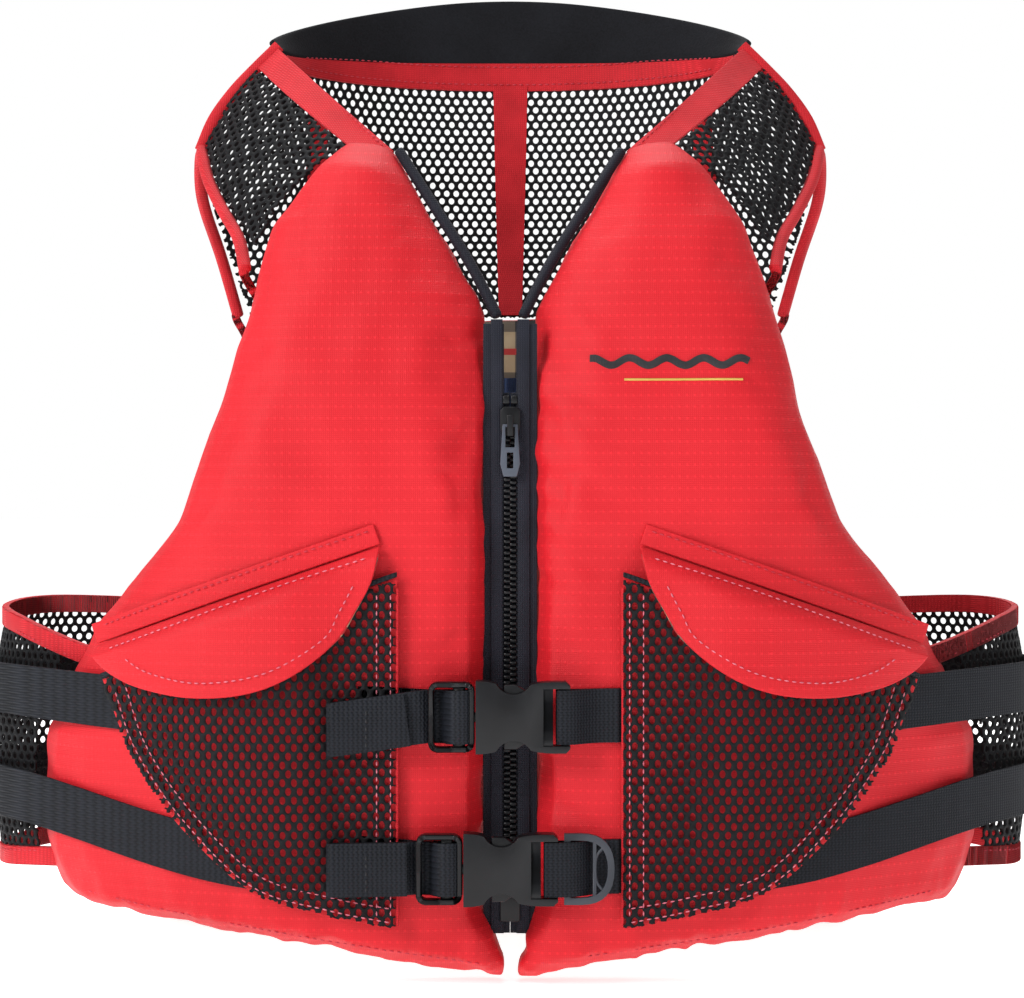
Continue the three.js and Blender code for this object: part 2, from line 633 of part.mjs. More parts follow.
const FOLD = [[61, 210], [130, 186], [199, 161]];
const HEM_HEIGHT = 9.5;
const HEM_THICK = 2;
const HEM_LEAN = 3.2; // the strip stands square to the sloping fold
const HEM_ABOVE_FOLD = 0.8;
const HEM_LIFT = 0.5;
const foldAt = curveXZ(...FOLD);
const hemAt = (u, v, lift) => {
  const { x, z } = foldAt(u);
  return offFront(x + HEM_LEAN * v, z + HEM_ABOVE_FOLD + HEM_HEIGHT * v, HEM_LIFT + lift);
};
addPair('flap_hem', sheetOn(hemAt, stops(0, 1, 8), [0, 1], 0, HEM_THICK), RED);

const flapFlat = stretched(
  curveXZ([72, 180], [80, 166], [113, 143], [146, 138.5], [174, 143]), foldAt,
  curveXZ([72, 180], [65, 192], [61, 210]), curveXZ([174, 143], [190, 150], [199, 161]),
);
const FLAP_OFF_MESH = MESH_LIFT + MESH_CLOTH + 1.1;
const FLAP_FOLD_LIFT = 1.2;
const FLAP_SETTLE = 6; // below the fold, before it clears the pocket
const flapAt = (u, v, lift) => {
  const { x, z } = flapFlat(u, v);
  const fold = foldAt(u);
  const down = Math.hypot(x - fold.x, z - fold.z);
  const settle = THREE.MathUtils.clamp(down / FLAP_SETTLE, 0, 1);
  const over = FLAP_OFF_MESH + pocketBulge(x, z);
  return offFront(x, z, THREE.MathUtils.lerp(FLAP_FOLD_LIFT, over, settle) + lift);
};
const FLAP_UP = [0, 0.25, 0.5, 0.7, 0.82, 0.91, 1];
addPair('pocket_flap', sheetOn(flapAt, stops(0, 1, 9), FLAP_UP, 0, FLAP_THICK), RED);

// ---- straps ----
const frontRun = (xs) => xs.map((x) => {
  const spot = offFront(x, 0, STRAP_LIFT);
  return [spot.x, spot.y];
});
const SIDE_RUN = [[254, -46], [266.5, -31], [274, -8], [275.5, 16], [270, 42], [251, 68], [222, 86]];
const BACK_RUN = [[198, 92.5], [175, 97], [150, backDepth(150) + STRAP_LIFT], [132, backDepth(132) + STRAP_LIFT]];
const OUTER_RUN = [...frontRun([112, 128, 144, 160, 176, 192, 208, 224, 238]), ...SIDE_RUN, ...BACK_RUN];
const halfWeb = WEBBING_WIDTH / 2;
const riseTo = (rise) => (x) => {
  const t = THREE.MathUtils.smoothstep(Math.abs(x), 100, 262);
  return rise * t;
};
const leftOuter = OUTER_RUN.map(([x, y]) => [-x, y]);
const strapSpecs = { upper: [UPPER_STRAP_Z, 6], lower: [LOWER_STRAP_Z, 25] };
for (const [level, [z, rise]] of Object.entries(strapSpecs)) {
  const strip = ribbon(leftOuter, WEBBING, z - halfWeb, z + halfWeb);
  add(`${level}_side_strap_left`, slope(strip, riseTo(rise)), WEBBING_BLACK);
}

const BUCKLE_MID_Y = BUCKLE_BACK_Y - BUCKLE_THICK / 2;
const BAR_BACK_Y = -133;
const BAR_FRONT_Y = -137.4;
const SEAT_Y = -FRONT_Y - STRAP_LIFT; // middle of webbing lying on the flat front
const LOOP_BACK_Y = BAR_BACK_Y + FIT_GAP + WEBBING / 2;
const LOOP_FRONT_Y = BAR_FRONT_Y - FIT_GAP - WEBBING / 2;
const STACK_Y = SEAT_Y - WEBBING - 0.3;
function sewnStrap(mouthX, loopEndX, layerEndX, z, rise) {
  const barIn = mouthX + BUCKLE_LENGTH - 4;
  const run = [
    ...OUTER_RUN.slice().reverse(), [90, SEAT_Y], [loopEndX + 8, SEAT_Y], [loopEndX, LOOP_BACK_Y],
    [barIn - 1.6, LOOP_BACK_Y], [barIn - 2.2, BUCKLE_MID_Y], [barIn - 1.6, LOOP_FRONT_Y],
    [loopEndX - 2, LOOP_FRONT_Y], [loopEndX + 3.5, STACK_Y - 5.2], [loopEndX + 10, STACK_Y],
    [layerEndX, STACK_Y],
  ];
  return slope(ribbon(run, WEBBING, z - halfWeb, z + halfWeb), riseTo(rise));
}
add('upper_strap_right', sewnStrap(UPPER_MOUTH_X, 31, 51, UPPER_STRAP_Z, 6), WEBBING_BLACK);
add('lower_strap_right', sewnStrap(LOWER_MOUTH_X, 31, 51, LOWER_STRAP_Z, 25), WEBBING_BLACK);

const TAIL_FRONT_Y = -139.9;
function adjustStrap(mouthX, z, fall) {
  const turn = mouthX - 15.5;
  const run = [
    [-72, SEAT_Y], [-46, SEAT_Y], [turn - 4, -129.8], [turn - 0.4, -131.6], [turn, BUCKLE_MID_Y],
    [turn - 0.4, -137.9], [turn - 9, -138.2], [turn - 16, TAIL_FRONT_Y], [-84, TAIL_FRONT_Y],
    [-86.4, TAIL_FRONT_Y - 1.05], [-84, TAIL_FRONT_Y - 2.1], [-68, TAIL_FRONT_Y - 2.1],
  ];
  const strip = ribbon(run, WEBBING, z - halfWeb, z + halfWeb);
  return slope(strip, (x) => fall * Math.max(0, turn - 4 - x));
}
add('upper_strap_left', adjustStrap(UPPER_MOUTH_X, UPPER_STRAP_Z, -0.1), WEBBING_BLACK);
add('lower_strap_left', adjustStrap(LOWER_MOUTH_X, LOWER_STRAP_Z, 0.04), WEBBING_BLACK);

// ---- buckles ----
const WINDOW_IN = 12.8;
const WINDOW_OUT = 23.5;
function femaleHalf(mouthX, z) {
  const outline = new THREE.Shape();
  outline.moveTo(0, -17);
  outline.quadraticCurveTo(8, -17, 12, -14.6);
  outline.quadraticCurveTo(18, -12.9, 24, -14.6);
  outline.quadraticCurveTo(29, -17, BUCKLE_LENGTH - 2, -16.6);
  outline.lineTo(BUCKLE_LENGTH, -14.6);
  outline.lineTo(BUCKLE_LENGTH, 14.6);
  outline.lineTo(BUCKLE_LENGTH - 2, 16.6);
  outline.quadraticCurveTo(29, 17, 24, 14.6);
  outline.quadraticCurveTo(18, 12.9, 12, 14.6);
  outline.quadraticCurveTo(8, 17, 0, 17);
  outline.closePath();
  const front0 = BUCKLE_BACK_Y - BUCKLE_THICK;
  const body = plateXZ(outline, front0, BUCKLE_THICK);
  const inside = block(-1, 29, BUCKLE_MID_Y - 2.9, BUCKLE_MID_Y + 2.9, -12.4, 12.4);
  const window0 = block(WINDOW_IN, WINDOW_OUT, BUCKLE_MID_Y - 2.9, BUCKLE_MID_Y + 2.9, -20, 20);
  const slot = block(31.5, BUCKLE_LENGTH - 4, front0 - 1, BUCKLE_BACK_Y + 1, -13.3, 13.3);
  const thinFront = block(34, 50, front0 - 1, BAR_FRONT_Y, -13.3, 13.3);
  const thinBack = block(34, 50, BAR_BACK_Y, BUCKLE_BACK_Y + 1, -13.3, 13.3);
  const half = cut(body, inside, window0, slot, thinFront, thinBack);
  half.translate(mouthX, 0, z);
  return half;
}

function maleHalf(mouthX, z) {
  const back0 = BUCKLE_MID_Y + 3.8;
  const front0 = BUCKLE_MID_Y - 3.8;
  const outline = new THREE.Shape();
  outline.moveTo(-22, -14.5);
  outline.lineTo(-20, -16.5);
  outline.lineTo(-4, -16.5);
  outline.lineTo(-0.4, -12);
  outline.lineTo(-0.4, 12);
  outline.lineTo(-4, 16.5);
  outline.lineTo(-20, 16.5);
  outline.lineTo(-22, 14.5);
  outline.closePath();
  const frame = plateXZ(outline, front0, back0 - front0);
  const slot = block(-18.5, -12, front0 - 1, back0 + 1, -13.2, 13.2);
  const dip = block(-24, -17, -131.0 - 1.4, back0 + 1, -13.2, 13.2);
  const dipFront = block(-24, -17, front0 - 1, -136.6, -13.2, 13.2);
  const tongue = block(-2, 24, BUCKLE_MID_Y - 2.1, BUCKLE_MID_Y + 2.1, -2.2, 2.2);
  const half = joined(cut(frame, slot, dip, dipFront), tongue);
  half.translate(mouthX, 0, z);
  return half;
}

function prong(mouthX, z, way) {
  const outline = new THREE.Shape();
  outline.moveTo(0, 5.6);
  outline.lineTo(0, 9.6);
  outline.lineTo(WINDOW_IN + FIT_GAP, 10.4);
  outline.lineTo(WINDOW_IN + FIT_GAP, 15);
  outline.lineTo(19, 15);
  outline.lineTo(26, 10.6);
  outline.lineTo(26, 8.4);
  outline.lineTo(12, 6.6);
  outline.closePath();
  const arm = plateXZ(outline, BUCKLE_MID_Y - PRONG_THICK / 2, PRONG_THICK);
  if (way < 0) arm.scale(1, 1, -1);
  arm.translate(mouthX, 0, z);
  return arm;
}

for (const [level, mouthX, z] of [
  ['upper', UPPER_MOUTH_X, UPPER_STRAP_Z], ['lower', LOWER_MOUTH_X, LOWER_STRAP_Z],
]) {
  add(`${level}_buckle_female`, femaleHalf(mouthX, z), PLASTIC);
  add(`${level}_buckle_male`, maleHalf(mouthX, z), PLASTIC);
  add(`${level}_prong_top`, prong(mouthX, z, 1), PLASTIC);
  add(`${level}_prong_bottom`, prong(mouthX, z, -1), PLASTIC);
}

// ---- accessory ring ----
const RING_X = 25.2;
const RING_BAR = 3;
const RING_FRONT_Y = -136.7;
const RING_HALF = 16.6;
function accessoryRing() {
  const outline = new THREE.Shape();
  outline.moveTo(0, -RING_HALF);
  outline.lineTo(8, -RING_HALF);
  outline.quadraticCurveTo(23.5, -RING_HALF, 23.5, 0);
  outline.quadraticCurveTo(23.5, RING_HALF, 8, RING_HALF);
  outline.lineTo(0, RING_HALF);
  outline.closePath();
  const plate = plateXZ(outline, RING_FRONT_Y, RING_BAR);
  const windowShape = new THREE.Shape();
  windowShape.moveTo(RING_BAR, -13.4);
  windowShape.lineTo(8, -13.4);
  windowShape.quadraticCurveTo(20.4, -13.4, 20.4, 0);
  windowShape.quadraticCurveTo(20.4, 13.4, 8, 13.4);
  windowShape.lineTo(RING_BAR, 13.4);
  windowShape.closePath();
  const hole = plateXZ(windowShape, RING_FRONT_Y - 1, RING_BAR + 2);
  const strut = block(13.4, 15, RING_FRONT_Y + 0.4, RING_FRONT_Y + 2.6, -14, 14);
  const ring = joined(cut(plate, hole), strut);
  ring.translate(RING_X, 0, LOWER_STRAP_Z);
  return ring;
}
add('accessory_ring', accessoryRing(), PLASTIC);

// ---- the vest stands on its lowest edges, centred ----
const bounds = new THREE.Box3().setFromObject(vest);
const middle = bounds.getCenter(new THREE.Vector3());
vest.position.set(-middle.x, -middle.y, -bounds.min.z);

export default vest;
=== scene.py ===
import math

import bmesh
import bpy
import numpy as np
from mathutils import Matrix, Vector, noise
from mathutils.bvhtree import BVHTree


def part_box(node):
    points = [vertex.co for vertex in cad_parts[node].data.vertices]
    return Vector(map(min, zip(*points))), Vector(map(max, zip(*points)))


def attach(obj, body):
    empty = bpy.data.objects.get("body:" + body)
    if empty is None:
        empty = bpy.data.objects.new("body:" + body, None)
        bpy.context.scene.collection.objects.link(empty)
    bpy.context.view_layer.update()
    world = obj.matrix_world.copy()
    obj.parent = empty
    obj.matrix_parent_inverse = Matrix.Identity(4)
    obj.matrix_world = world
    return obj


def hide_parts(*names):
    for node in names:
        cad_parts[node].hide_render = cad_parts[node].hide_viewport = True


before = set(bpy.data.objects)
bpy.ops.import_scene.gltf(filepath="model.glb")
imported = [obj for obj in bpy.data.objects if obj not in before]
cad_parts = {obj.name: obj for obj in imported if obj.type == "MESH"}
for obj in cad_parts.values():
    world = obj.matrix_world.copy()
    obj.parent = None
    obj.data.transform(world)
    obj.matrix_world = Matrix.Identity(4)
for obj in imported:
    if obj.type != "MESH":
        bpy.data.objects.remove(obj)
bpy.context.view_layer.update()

mm = 0.001
origin = Vector((0.0, 12.375, 0.6))  # the vest's own millimetres start here


def spot(x, y, z):
    return (Vector((x, y, z)) + origin) * mm


# ---- small helpers ----
def nodeCopy(node):
    bm = bmesh.new()
    bm.from_mesh(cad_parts[node].data)
    bmesh.ops.remove_doubles(bm, verts=bm.verts, dist=1e-6)
    return bm


def asPiece(bm, name, mats, body="vest", replaces=(), smooth=True):
    mesh = bpy.data.meshes.new(name)
    bm.to_mesh(mesh)
    bm.free()
    piece = bpy.data.objects.new(name, mesh)
    bpy.context.scene.collection.objects.link(piece)
    for mat in mats if isinstance(mats, (list, tuple)) else [mats]:
        mesh.materials.append(mat)
    for face in mesh.polygons:
        face.use_smooth = smooth
    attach(piece, body)
    if replaces:
        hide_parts(*replaces)
    return piece


def smoother(piece, levels):
    mod = piece.modifiers.new("smooth", "SUBSURF")
    mod.levels = mod.render_levels = levels
    return mod


def thickness(piece, depth, offset=0.0):
    mod = piece.modifiers.new("cloth", "SOLIDIFY")
    mod.thickness = depth
    mod.offset = offset
    return mod


girth = [(0, -125), (60, -125), (100, -125)]
girth += [(x, -125 + 95 * ((x - 100) / 168) ** 2) for x in (120, 140, 160, 180, 200, 220, 240)]
girth += [(266, -31), (274, -8), (275, 16), (269, 42), (250, 68), (222, 86), (150, 101), (75, 114), (0, 118)]
girthRun = [0.0]
for a, b in zip(girth, girth[1:]):
    girthRun.append(girthRun[-1] + math.dist(a, b))
girthA = np.array(girth[:-1], float)
girthB = np.array(girth[1:], float)
girthAt = np.array(girthRun[:-1])


def alongGirth(x, y):
    # distance round the body from the zip, so a weave runs round with the cloth
    p = np.array([abs(x), y])
    d = girthB - girthA
    t = np.clip(((p - girthA) * d).sum(1) / (d * d).sum(1), 0, 1)
    gap = ((girthA + d * t[:, None] - p) ** 2).sum(1)
    i = int(gap.argmin())
    return math.copysign(girthAt[i] + t[i] * math.hypot(*d[i]), x or 1)


def clothMap(mesh):
    # weave coordinates in metres: round the body and up
    layer = mesh.uv_layers.get("weave") or mesh.uv_layers.new(name="weave")
    spots = [(alongGirth(v.co.x / mm - origin.x, v.co.y / mm - origin.y) * mm, v.co.z) for v in mesh.vertices]
    for loop in mesh.loops:
        layer.data[loop.index].uv = spots[loop.vertex_index]


def curveThrough(points, per=6):
    # a smooth run through the points
    points = [Vector(p) for p in points]
    ends = [points[0] * 2 - points[1]] + points + [points[-1] * 2 - points[-2]]
    run = []
    for a, b, c, d in zip(ends, ends[1:], ends[2:], ends[3:]):
        for i in range(per):
            t = i / per
            run.append(0.5 * (2 * b + (c - a) * t + (2 * a - 5 * b + 4 * c - d) * t * t + (3 * b - a - 3 * c + d) * t ** 3))
    run.append(points[-1])
    return run


def frameAt(run, i, up):
    ahead = run[min(i + 1, len(run) - 1)] - run[max(i - 1, 0)]
    ahead.normalize()
    width = (up(i) if callable(up) else Vector(up))
    width = (width - ahead * width.dot(ahead)).normalized()
    across = width.cross(ahead)
    turn = Matrix((width, across, ahead)).transposed().to_4x4()
    return Matrix.Translation(run[i]) @ turn


def swept(bm, run, wide, thick, up=(0, 0, 1), corners=4):
    # a flat or round strip drawn along the run
    if corners == 4:
        made = bmesh.ops.create_grid(bm, x_segments=1, y_segments=1, size=0.5)["verts"]
    else:
        made = bmesh.ops.create_circle(bm, cap_ends=True, segments=corners, radius=0.5)["verts"]
    bmesh.ops.scale(bm, vec=(wide, thick, 1), verts=made)
    place = frameAt(run, 0, up)
    bmesh.ops.transform(bm, matrix=place, verts=made)
    cap = made[0].link_faces[0]
    everything = list(made)
    for i in range(1, len(run)):
        grown = bmesh.ops.extrude_face_region(bm, geom=[cap])["geom"]
        made = [g for g in grown if isinstance(g, bmesh.types.BMVert)]
        cap = [g for g in grown if isinstance(g, bmesh.types.BMFace)][0]
        after = frameAt(run, i, up)
        bmesh.ops.transform(bm, matrix=after @ place.inverted(), verts=made)
        place = after
        everything += made
    bmesh.ops.recalc_face_normals(bm, faces=bm.faces)
    return everything


def strip(name, points, wide, thick, mat, body="vest", up=(0, 0, 1), corners=4, per=6, replaces=(), round=0.0):
    bm = bmesh.new()
    run = curveThrough(points, per) if per else [Vector(p) for p in points]
    swept(bm, run, wide, thick, up, corners)
    if round:
        long = [e for e in bm.edges if len(e.link_faces) == 2 and e.calc_face_angle(0) > math.radians(50)]
        bmesh.ops.bevel(bm, geom=long, offset=round, segments=2, affect="EDGES", profile=0.5, material=-1,
                        clamp_overlap=True)
    piece = asPiece(bm, name, mat, body, replaces)
    piece.data.set_sharp_from_angle(angle=math.radians(50))
    return piece


def treeOf(node):
    bm = nodeCopy(node)
    tree = BVHTree.FromBMesh(bm)
    bm.free()
    return tree


def onFront(tree, x, z, lift=0.0004):
    # the first cloth met from in front of the vest
    at = spot(x, 0, z)
    hit, normal, _, _ = tree.ray_cast(Vector((at.x, -0.5, at.z)), Vector((0, 1, 0)))
    if hit is None:
        hit, normal, _, _ = tree.find_nearest(Vector((at.x, -0.11, at.z)))
    if normal.y > 0:
        normal = -normal
    return hit + normal * lift


def nearOn(tree, point, lift=0.0004, facing=(0, -1, 0)):
    hit, normal, _, _ = tree.find_nearest(point)
    if normal.dot(Vector(facing)) < 0:
        normal = -normal
    return hit + normal * lift


def evenRun(points, step):
    run = curveThrough(points, 12)
    far = [0.0]
    for a, b in zip(run, run[1:]):
        far.append(far[-1] + (b - a).length)
    out = []
    i = 0
    for k in range(int(far[-1] / step)):
        d = (k + 0.5) * step
        while far[i + 1] < d:
            i += 1
        t = (d - far[i]) / max(far[i + 1] - far[i], 1e-9)
        out.append((run[i].lerp(run[i + 1], t), (run[i + 1] - run[i]).normalized()))
    return out


thread = {"stitch": 0.0026, "step": 0.0037, "thick": 0.00075}


def stitches(bm, points):
    for at, way in evenRun(points, thread["step"]):
        turn = way.to_track_quat("X", "Z").to_matrix().to_4x4()
        size = Matrix.Diagonal((thread["stitch"], thread["thick"], thread["thick"], 1))
        bmesh.ops.create_icosphere(bm, subdivisions=1, radius=0.5, matrix=Matrix.Translation(at) @ turn @ size)


def sewn(name, lines, mat, body="vest"):
    bm = bmesh.new()
    for points in lines:
        stitches(bm, points)
    return asPiece(bm, name, mat, body, ())


# ---- materials ----
def newMaterial(name):
    mat = bpy.data.materials.new(name)
    mat.use_nodes = True
    tree = mat.node_tree
    shader = tree.nodes["Principled BSDF"]
    return mat, tree, shader


def place(tree, kind, **inputs):
    node = tree.nodes.new(kind)
    for key, value in inputs.items():
        node.inputs[key].default_value = value
    return node


def mathNode(tree, operation, first, second=None, third=None):
    node = tree.nodes.new("ShaderNodeMath")
    node.operation = operation
    for i, value in enumerate((first, second, third)):
        if value is None:
            continue
        if isinstance(value, (int, float)):
            node.inputs[i].default_value = value
        else:
            tree.links.new(value, node.inputs[i])
    return node.outputs[0]


def coordinates(tree, woven):
    if woven:
        node = tree.nodes.new("ShaderNodeUVMap")
        node.uv_map = "weave"
        return node.outputs[0]
    return tree.nodes.new("ShaderNodeTexCoord").outputs["Object"]


def split(tree, vector):
    node = tree.nodes.new("ShaderNodeSeparateXYZ")
    tree.links.new(vector, node.inputs[0])
    return node.outputs


def grain(tree, vector, scale, detail=3.0, rough=0.5):
    node = place(tree, "ShaderNodeTexNoise", Scale=scale, Detail=detail, Roughness=rough)
    tree.links.new(vector, node.inputs["Vector"])
    return node.outputs["Fac"]


def ridge(tree, value, pitch, sharp=1.0):
    # 0 to 1 waves every pitch metres
    wave = mathNode(tree, "SINE", mathNode(tree, "MULTIPLY", value, 2 * math.pi / pitch))
    wave = mathNode(tree, "MULTIPLY_ADD", wave, 0.5, 0.5)
    return mathNode(tree, "POWER", wave, sharp) if sharp != 1 else wave


def ramp(tree, value, stops):
    node = tree.nodes.new("ShaderNodeValToRGB")
    while len(node.color_ramp.elements) < len(stops):
        node.color_ramp.elements.new(0.5)
    for element, (at, colour) in zip(node.color_ramp.elements, stops):
        element.position = at
        element.color = (*colour, 1)
    tree.links.new(value, node.inputs[0])
    return node.outputs[0]


def bumped(tree, shader, height, depth, strength=1.0):
    node = place(tree, "ShaderNodeBump", Strength=strength, Distance=depth)
    tree.links.new(height, node.inputs["Height"])
    tree.links.new(node.outputs[0], shader.inputs["Normal"])


ripstop = {"deep": (0.50, 0.004, 0.010), "light": (0.80, 0.016, 0.028), "rowPitch": 0.0055, "dotPitch": 0.0036,
           "rough": 0.58}


def ripstopCloth():
    mat, tree, shader = newMaterial("ripstop red")
    uv = coordinates(tree, True)
    u, v, _ = split(tree, uv)
    rows = ridge(tree, v, ripstop["rowPitch"], 8)
    dots = mathNode(tree, "MULTIPLY", rows, ridge(tree, u, ripstop["dotPitch"], 4))
    lines = ridge(tree, u, 0.011, 16)
    cloud = grain(tree, coordinates(tree, False), 9, 4)
    thread = mathNode(tree, "MULTIPLY", ridge(tree, u, 0.0009), ridge(tree, v, 0.0009))
    tone = mathNode(tree, "MULTIPLY_ADD", dots, 0.30, mathNode(tree, "MULTIPLY", cloud, 0.60))
    tone = mathNode(tree, "MULTIPLY_ADD", thread, 0.22, tone)
    tone = mathNode(tree, "ADD", tone, mathNode(tree, "MULTIPLY", rows, 0.05))
    colour = ramp(tree, tone, [(0.15, ripstop["deep"]), (0.85, ripstop["light"])])
    tree.links.new(colour, shader.inputs["Base Color"])
    height = mathNode(tree, "ADD", mathNode(tree, "MULTIPLY", rows, 0.2), mathNode(tree, "MULTIPLY", dots, 0.6))
    height = mathNode(tree, "ADD", height, mathNode(tree, "MULTIPLY", lines, 0.15))
    height = mathNode(tree, "ADD", height, mathNode(tree, "MULTIPLY", thread, 0.5))
    bumped(tree, shader, height, 0.0003, 0.7)
    shader.inputs["Roughness"].default_value = ripstop["rough"]
    shader.inputs["Specular IOR Level"].default_value = 0.3
    shader.inputs["Sheen Weight"].default_value = 0.06
    shader.inputs["Sheen Tint"].default_value = (1, 0.4, 0.4, 1)
    return mat


def plainTape(name, deep, light, pitch=0.0011, rough=0.7):
    mat, tree, shader = newMaterial(name)
    where = coordinates(tree, False)
    x, y, z = split(tree, where)
    across = ridge(tree, mathNode(tree, "ADD", x, mathNode(tree, "MULTIPLY", y, 0.7)), pitch)
    weave = mathNode(tree, "MULTIPLY", across, ridge(tree, z, pitch))
    tone = mathNode(tree, "MULTIPLY_ADD", weave, 0.4, mathNode(tree, "MULTIPLY", grain(tree, where, 60), 0.6))
    tree.links.new(ramp(tree, tone, [(0.2, deep), (0.8, light)]), shader.inputs["Base Color"])
    bumped(tree, shader, weave, 0.0003, 0.7)
    shader.inputs["Roughness"].default_value = rough
    shader.inputs["Specular IOR Level"].default_value = 0.3
    shader.inputs["Sheen Weight"].default_value = 0.05
    return mat


def webbingCloth():
    # short yarns side by side, each row shifted half a yarn
    mat, tree, shader = newMaterial("black webbing")
    where = coordinates(tree, False)
    x, y, z = split(tree, where)
    along = mathNode(tree, "MULTIPLY_ADD", y, 0.8, x)
    lean = mathNode(tree, "MULTIPLY_ADD", ridge(tree, z, 0.0026), 0.0006, along)
    yarns = ridge(tree, lean, 0.0023, 0.7)
    rows = ridge(tree, z, 0.0013, 0.5)
    height = mathNode(tree, "MULTIPLY_ADD", yarns, 0.7, mathNode(tree, "MULTIPLY", rows, 0.4))
    tone = mathNode(tree, "MULTIPLY_ADD", height, 0.6, mathNode(tree, "MULTIPLY", grain(tree, where, 90), 0.4))
    dark, pale = (0.0015, 0.0018, 0.003), (0.012, 0.014, 0.020)
    tree.links.new(ramp(tree, tone, [(0.15, dark), (0.9, pale)]), shader.inputs["Base Color"])
    bumped(tree, shader, height, 0.0004, 0.7)
    shader.inputs["Roughness"].default_value = 0.6
    shader.inputs["Specular IOR Level"].default_value = 0.18
    return mat


def netCloth():
    mat, tree, shader = newMaterial("black net")
    where = coordinates(tree, False)
    tone = grain(tree, where, 400, 2)
    tree.links.new(ramp(tree, tone, [(0.3, (0.0015, 0.0015, 0.002)), (0.8, (0.008, 0.0085, 0.011))]),
                   shader.inputs["Base Color"])
    bumped(tree, shader, tone, 0.0003, 0.6)
    shader.inputs["Roughness"].default_value = 0.7
    shader.inputs["Specular IOR Level"].default_value = 0.22
    return mat


def collarFoam():
    mat, tree, shader = newMaterial("black neoprene")
    where = coordinates(tree, False)
    fine = grain(tree, where, 900, 2, 0.6)
    broad = grain(tree, where, 25, 3)
    tone = mathNode(tree, "MULTIPLY_ADD", fine, 0.5, mathNode(tree, "MULTIPLY", broad, 0.5))
    tree.links.new(ramp(tree, tone, [(0.3, (0.002, 0.002, 0.003)), (0.75, (0.012, 0.013, 0.017))]),
                   shader.inputs["Base Color"])
    bumped(tree, shader, fine, 0.0003, 0.7)
    shader.inputs["Roughness"].default_value = 0.9
    shader.inputs["Specular IOR Level"].default_value = 0.2
    shader.inputs["Sheen Weight"].default_value = 0.03
    return mat


def moulded(name, deep, light, rough):
    mat, tree, shader = newMaterial(name)
    where = coordinates(tree, False)
    fine = grain(tree, where, 1500, 2, 0.6)
    broad = grain(tree, where, 45, 4)
    tree.links.new(ramp(tree, broad, [(0.3, deep), (0.75, light)]), shader.inputs["Base Color"])
    shine = mathNode(tree, "MULTIPLY_ADD", broad, 0.22, rough - 0.1)
    tree.links.new(shine, shader.inputs["Roughness"])
    bumped(tree, shader, fine, 0.00008, 0.5)
    shader.inputs["Specular IOR Level"].default_value = 0.32
    return mat


plaid = {"base": (0.42, 0.32, 0.20), "band": 0.036}


def plaidCloth():
    mat, tree, shader = newMaterial("plaid lining")
    where = coordinates(tree, False)
    x, y, z = split(tree, where)
    wide = plaid["band"]
    bandX = mathNode(tree, "GREATER_THAN", ridge(tree, x, wide), 0.72)
    bandZ = mathNode(tree, "GREATER_THAN", ridge(tree, z, wide), 0.72)
    thinX = mathNode(tree, "GREATER_THAN", ridge(tree, mathNode(tree, "ADD", x, wide / 2), wide, 6), 0.86)
    thinZ = mathNode(tree, "GREATER_THAN", ridge(tree, mathNode(tree, "ADD", z, wide / 2), wide, 6), 0.86)
    dark = mathNode(tree, "MULTIPLY", mathNode(tree, "ADD", bandX, bandZ), 0.42)
    base = ramp(tree, dark, [(0.0, plaid["base"]), (0.45, (0.12, 0.10, 0.08)), (0.85, (0.02, 0.02, 0.022))])
    mix = tree.nodes.new("ShaderNodeMix")
    mix.data_type = "RGBA"
    mix.inputs[7].default_value = (0.45, 0.03, 0.03, 1)
    tree.links.new(mathNode(tree, "MAXIMUM", thinX, thinZ), mix.inputs[0])
    tree.links.new(base, mix.inputs[6])
    tree.links.new(mix.outputs[2], shader.inputs["Base Color"])
    weave = mathNode(tree, "MULTIPLY", ridge(tree, x, 0.001), ridge(tree, z, 0.001))
    bumped(tree, shader, weave, 0.0002, 0.5)
    shader.inputs["Roughness"].default_value = 0.85
    return mat


red = ripstopCloth()
bindingRed = plainTape("red binding tape", (0.42, 0.004, 0.010), (0.72, 0.016, 0.028))
threadRed = plainTape("red stitching", (0.45, 0.02, 0.04), (0.75, 0.08, 0.11), 0.0006)
threadPink = plainTape("pink stitching", (0.62, 0.12, 0.18), (0.86, 0.30, 0.36), 0.0006)
threadBlack = plainTape("black stitching", (0.01, 0.01, 0.012), (0.06, 0.06, 0.065), 0.0006)
navy = plainTape("navy tape", (0.003, 0.004, 0.010), (0.012, 0.014, 0.026))
gold = plainTape("gold stitching", (0.55, 0.33, 0.05), (0.85, 0.60, 0.16), 0.0006)
black = webbingCloth()
net = netCloth()
neoprene = collarFoam()
plastic = moulded("black plastic", (0.002, 0.002, 0.003), (0.009, 0.010, 0.012), 0.36)
ringPlastic = moulded("slate plastic", (0.02, 0.023, 0.03), (0.05, 0.055, 0.068), 0.42)
pullPlastic = moulded("blue grey plastic", (0.035, 0.042, 0.058), (0.085, 0.10, 0.13), 0.4)
lining = plaidCloth()
whiteTab = plainTape("white woven tab", (0.66, 0.63, 0.60), (0.86, 0.84, 0.82), 0.0008)
bluePatch = plainTape("blue woven patch", (0.02, 0.05, 0.16), (0.05, 0.10, 0.28), 0.0008)
print("materials made")

# ---- camera, light and floor ----
view = {"lens": 79.9, "at": (0.0009, -1.1826, 0.2326)}
camera = bpy.data.objects.new("camera", bpy.data.cameras.new("camera"))
bpy.context.scene.collection.objects.link(camera)
camera.location = view["at"]
camera.rotation_euler = (math.radians(90), 0, 0)
camera.data.lens = view["lens"]
camera.data.sensor_width = 36
camera.data.clip_end = 60
bpy.context.scene.camera = camera
bpy.context.scene.view_settings.view_transform = "Standard"


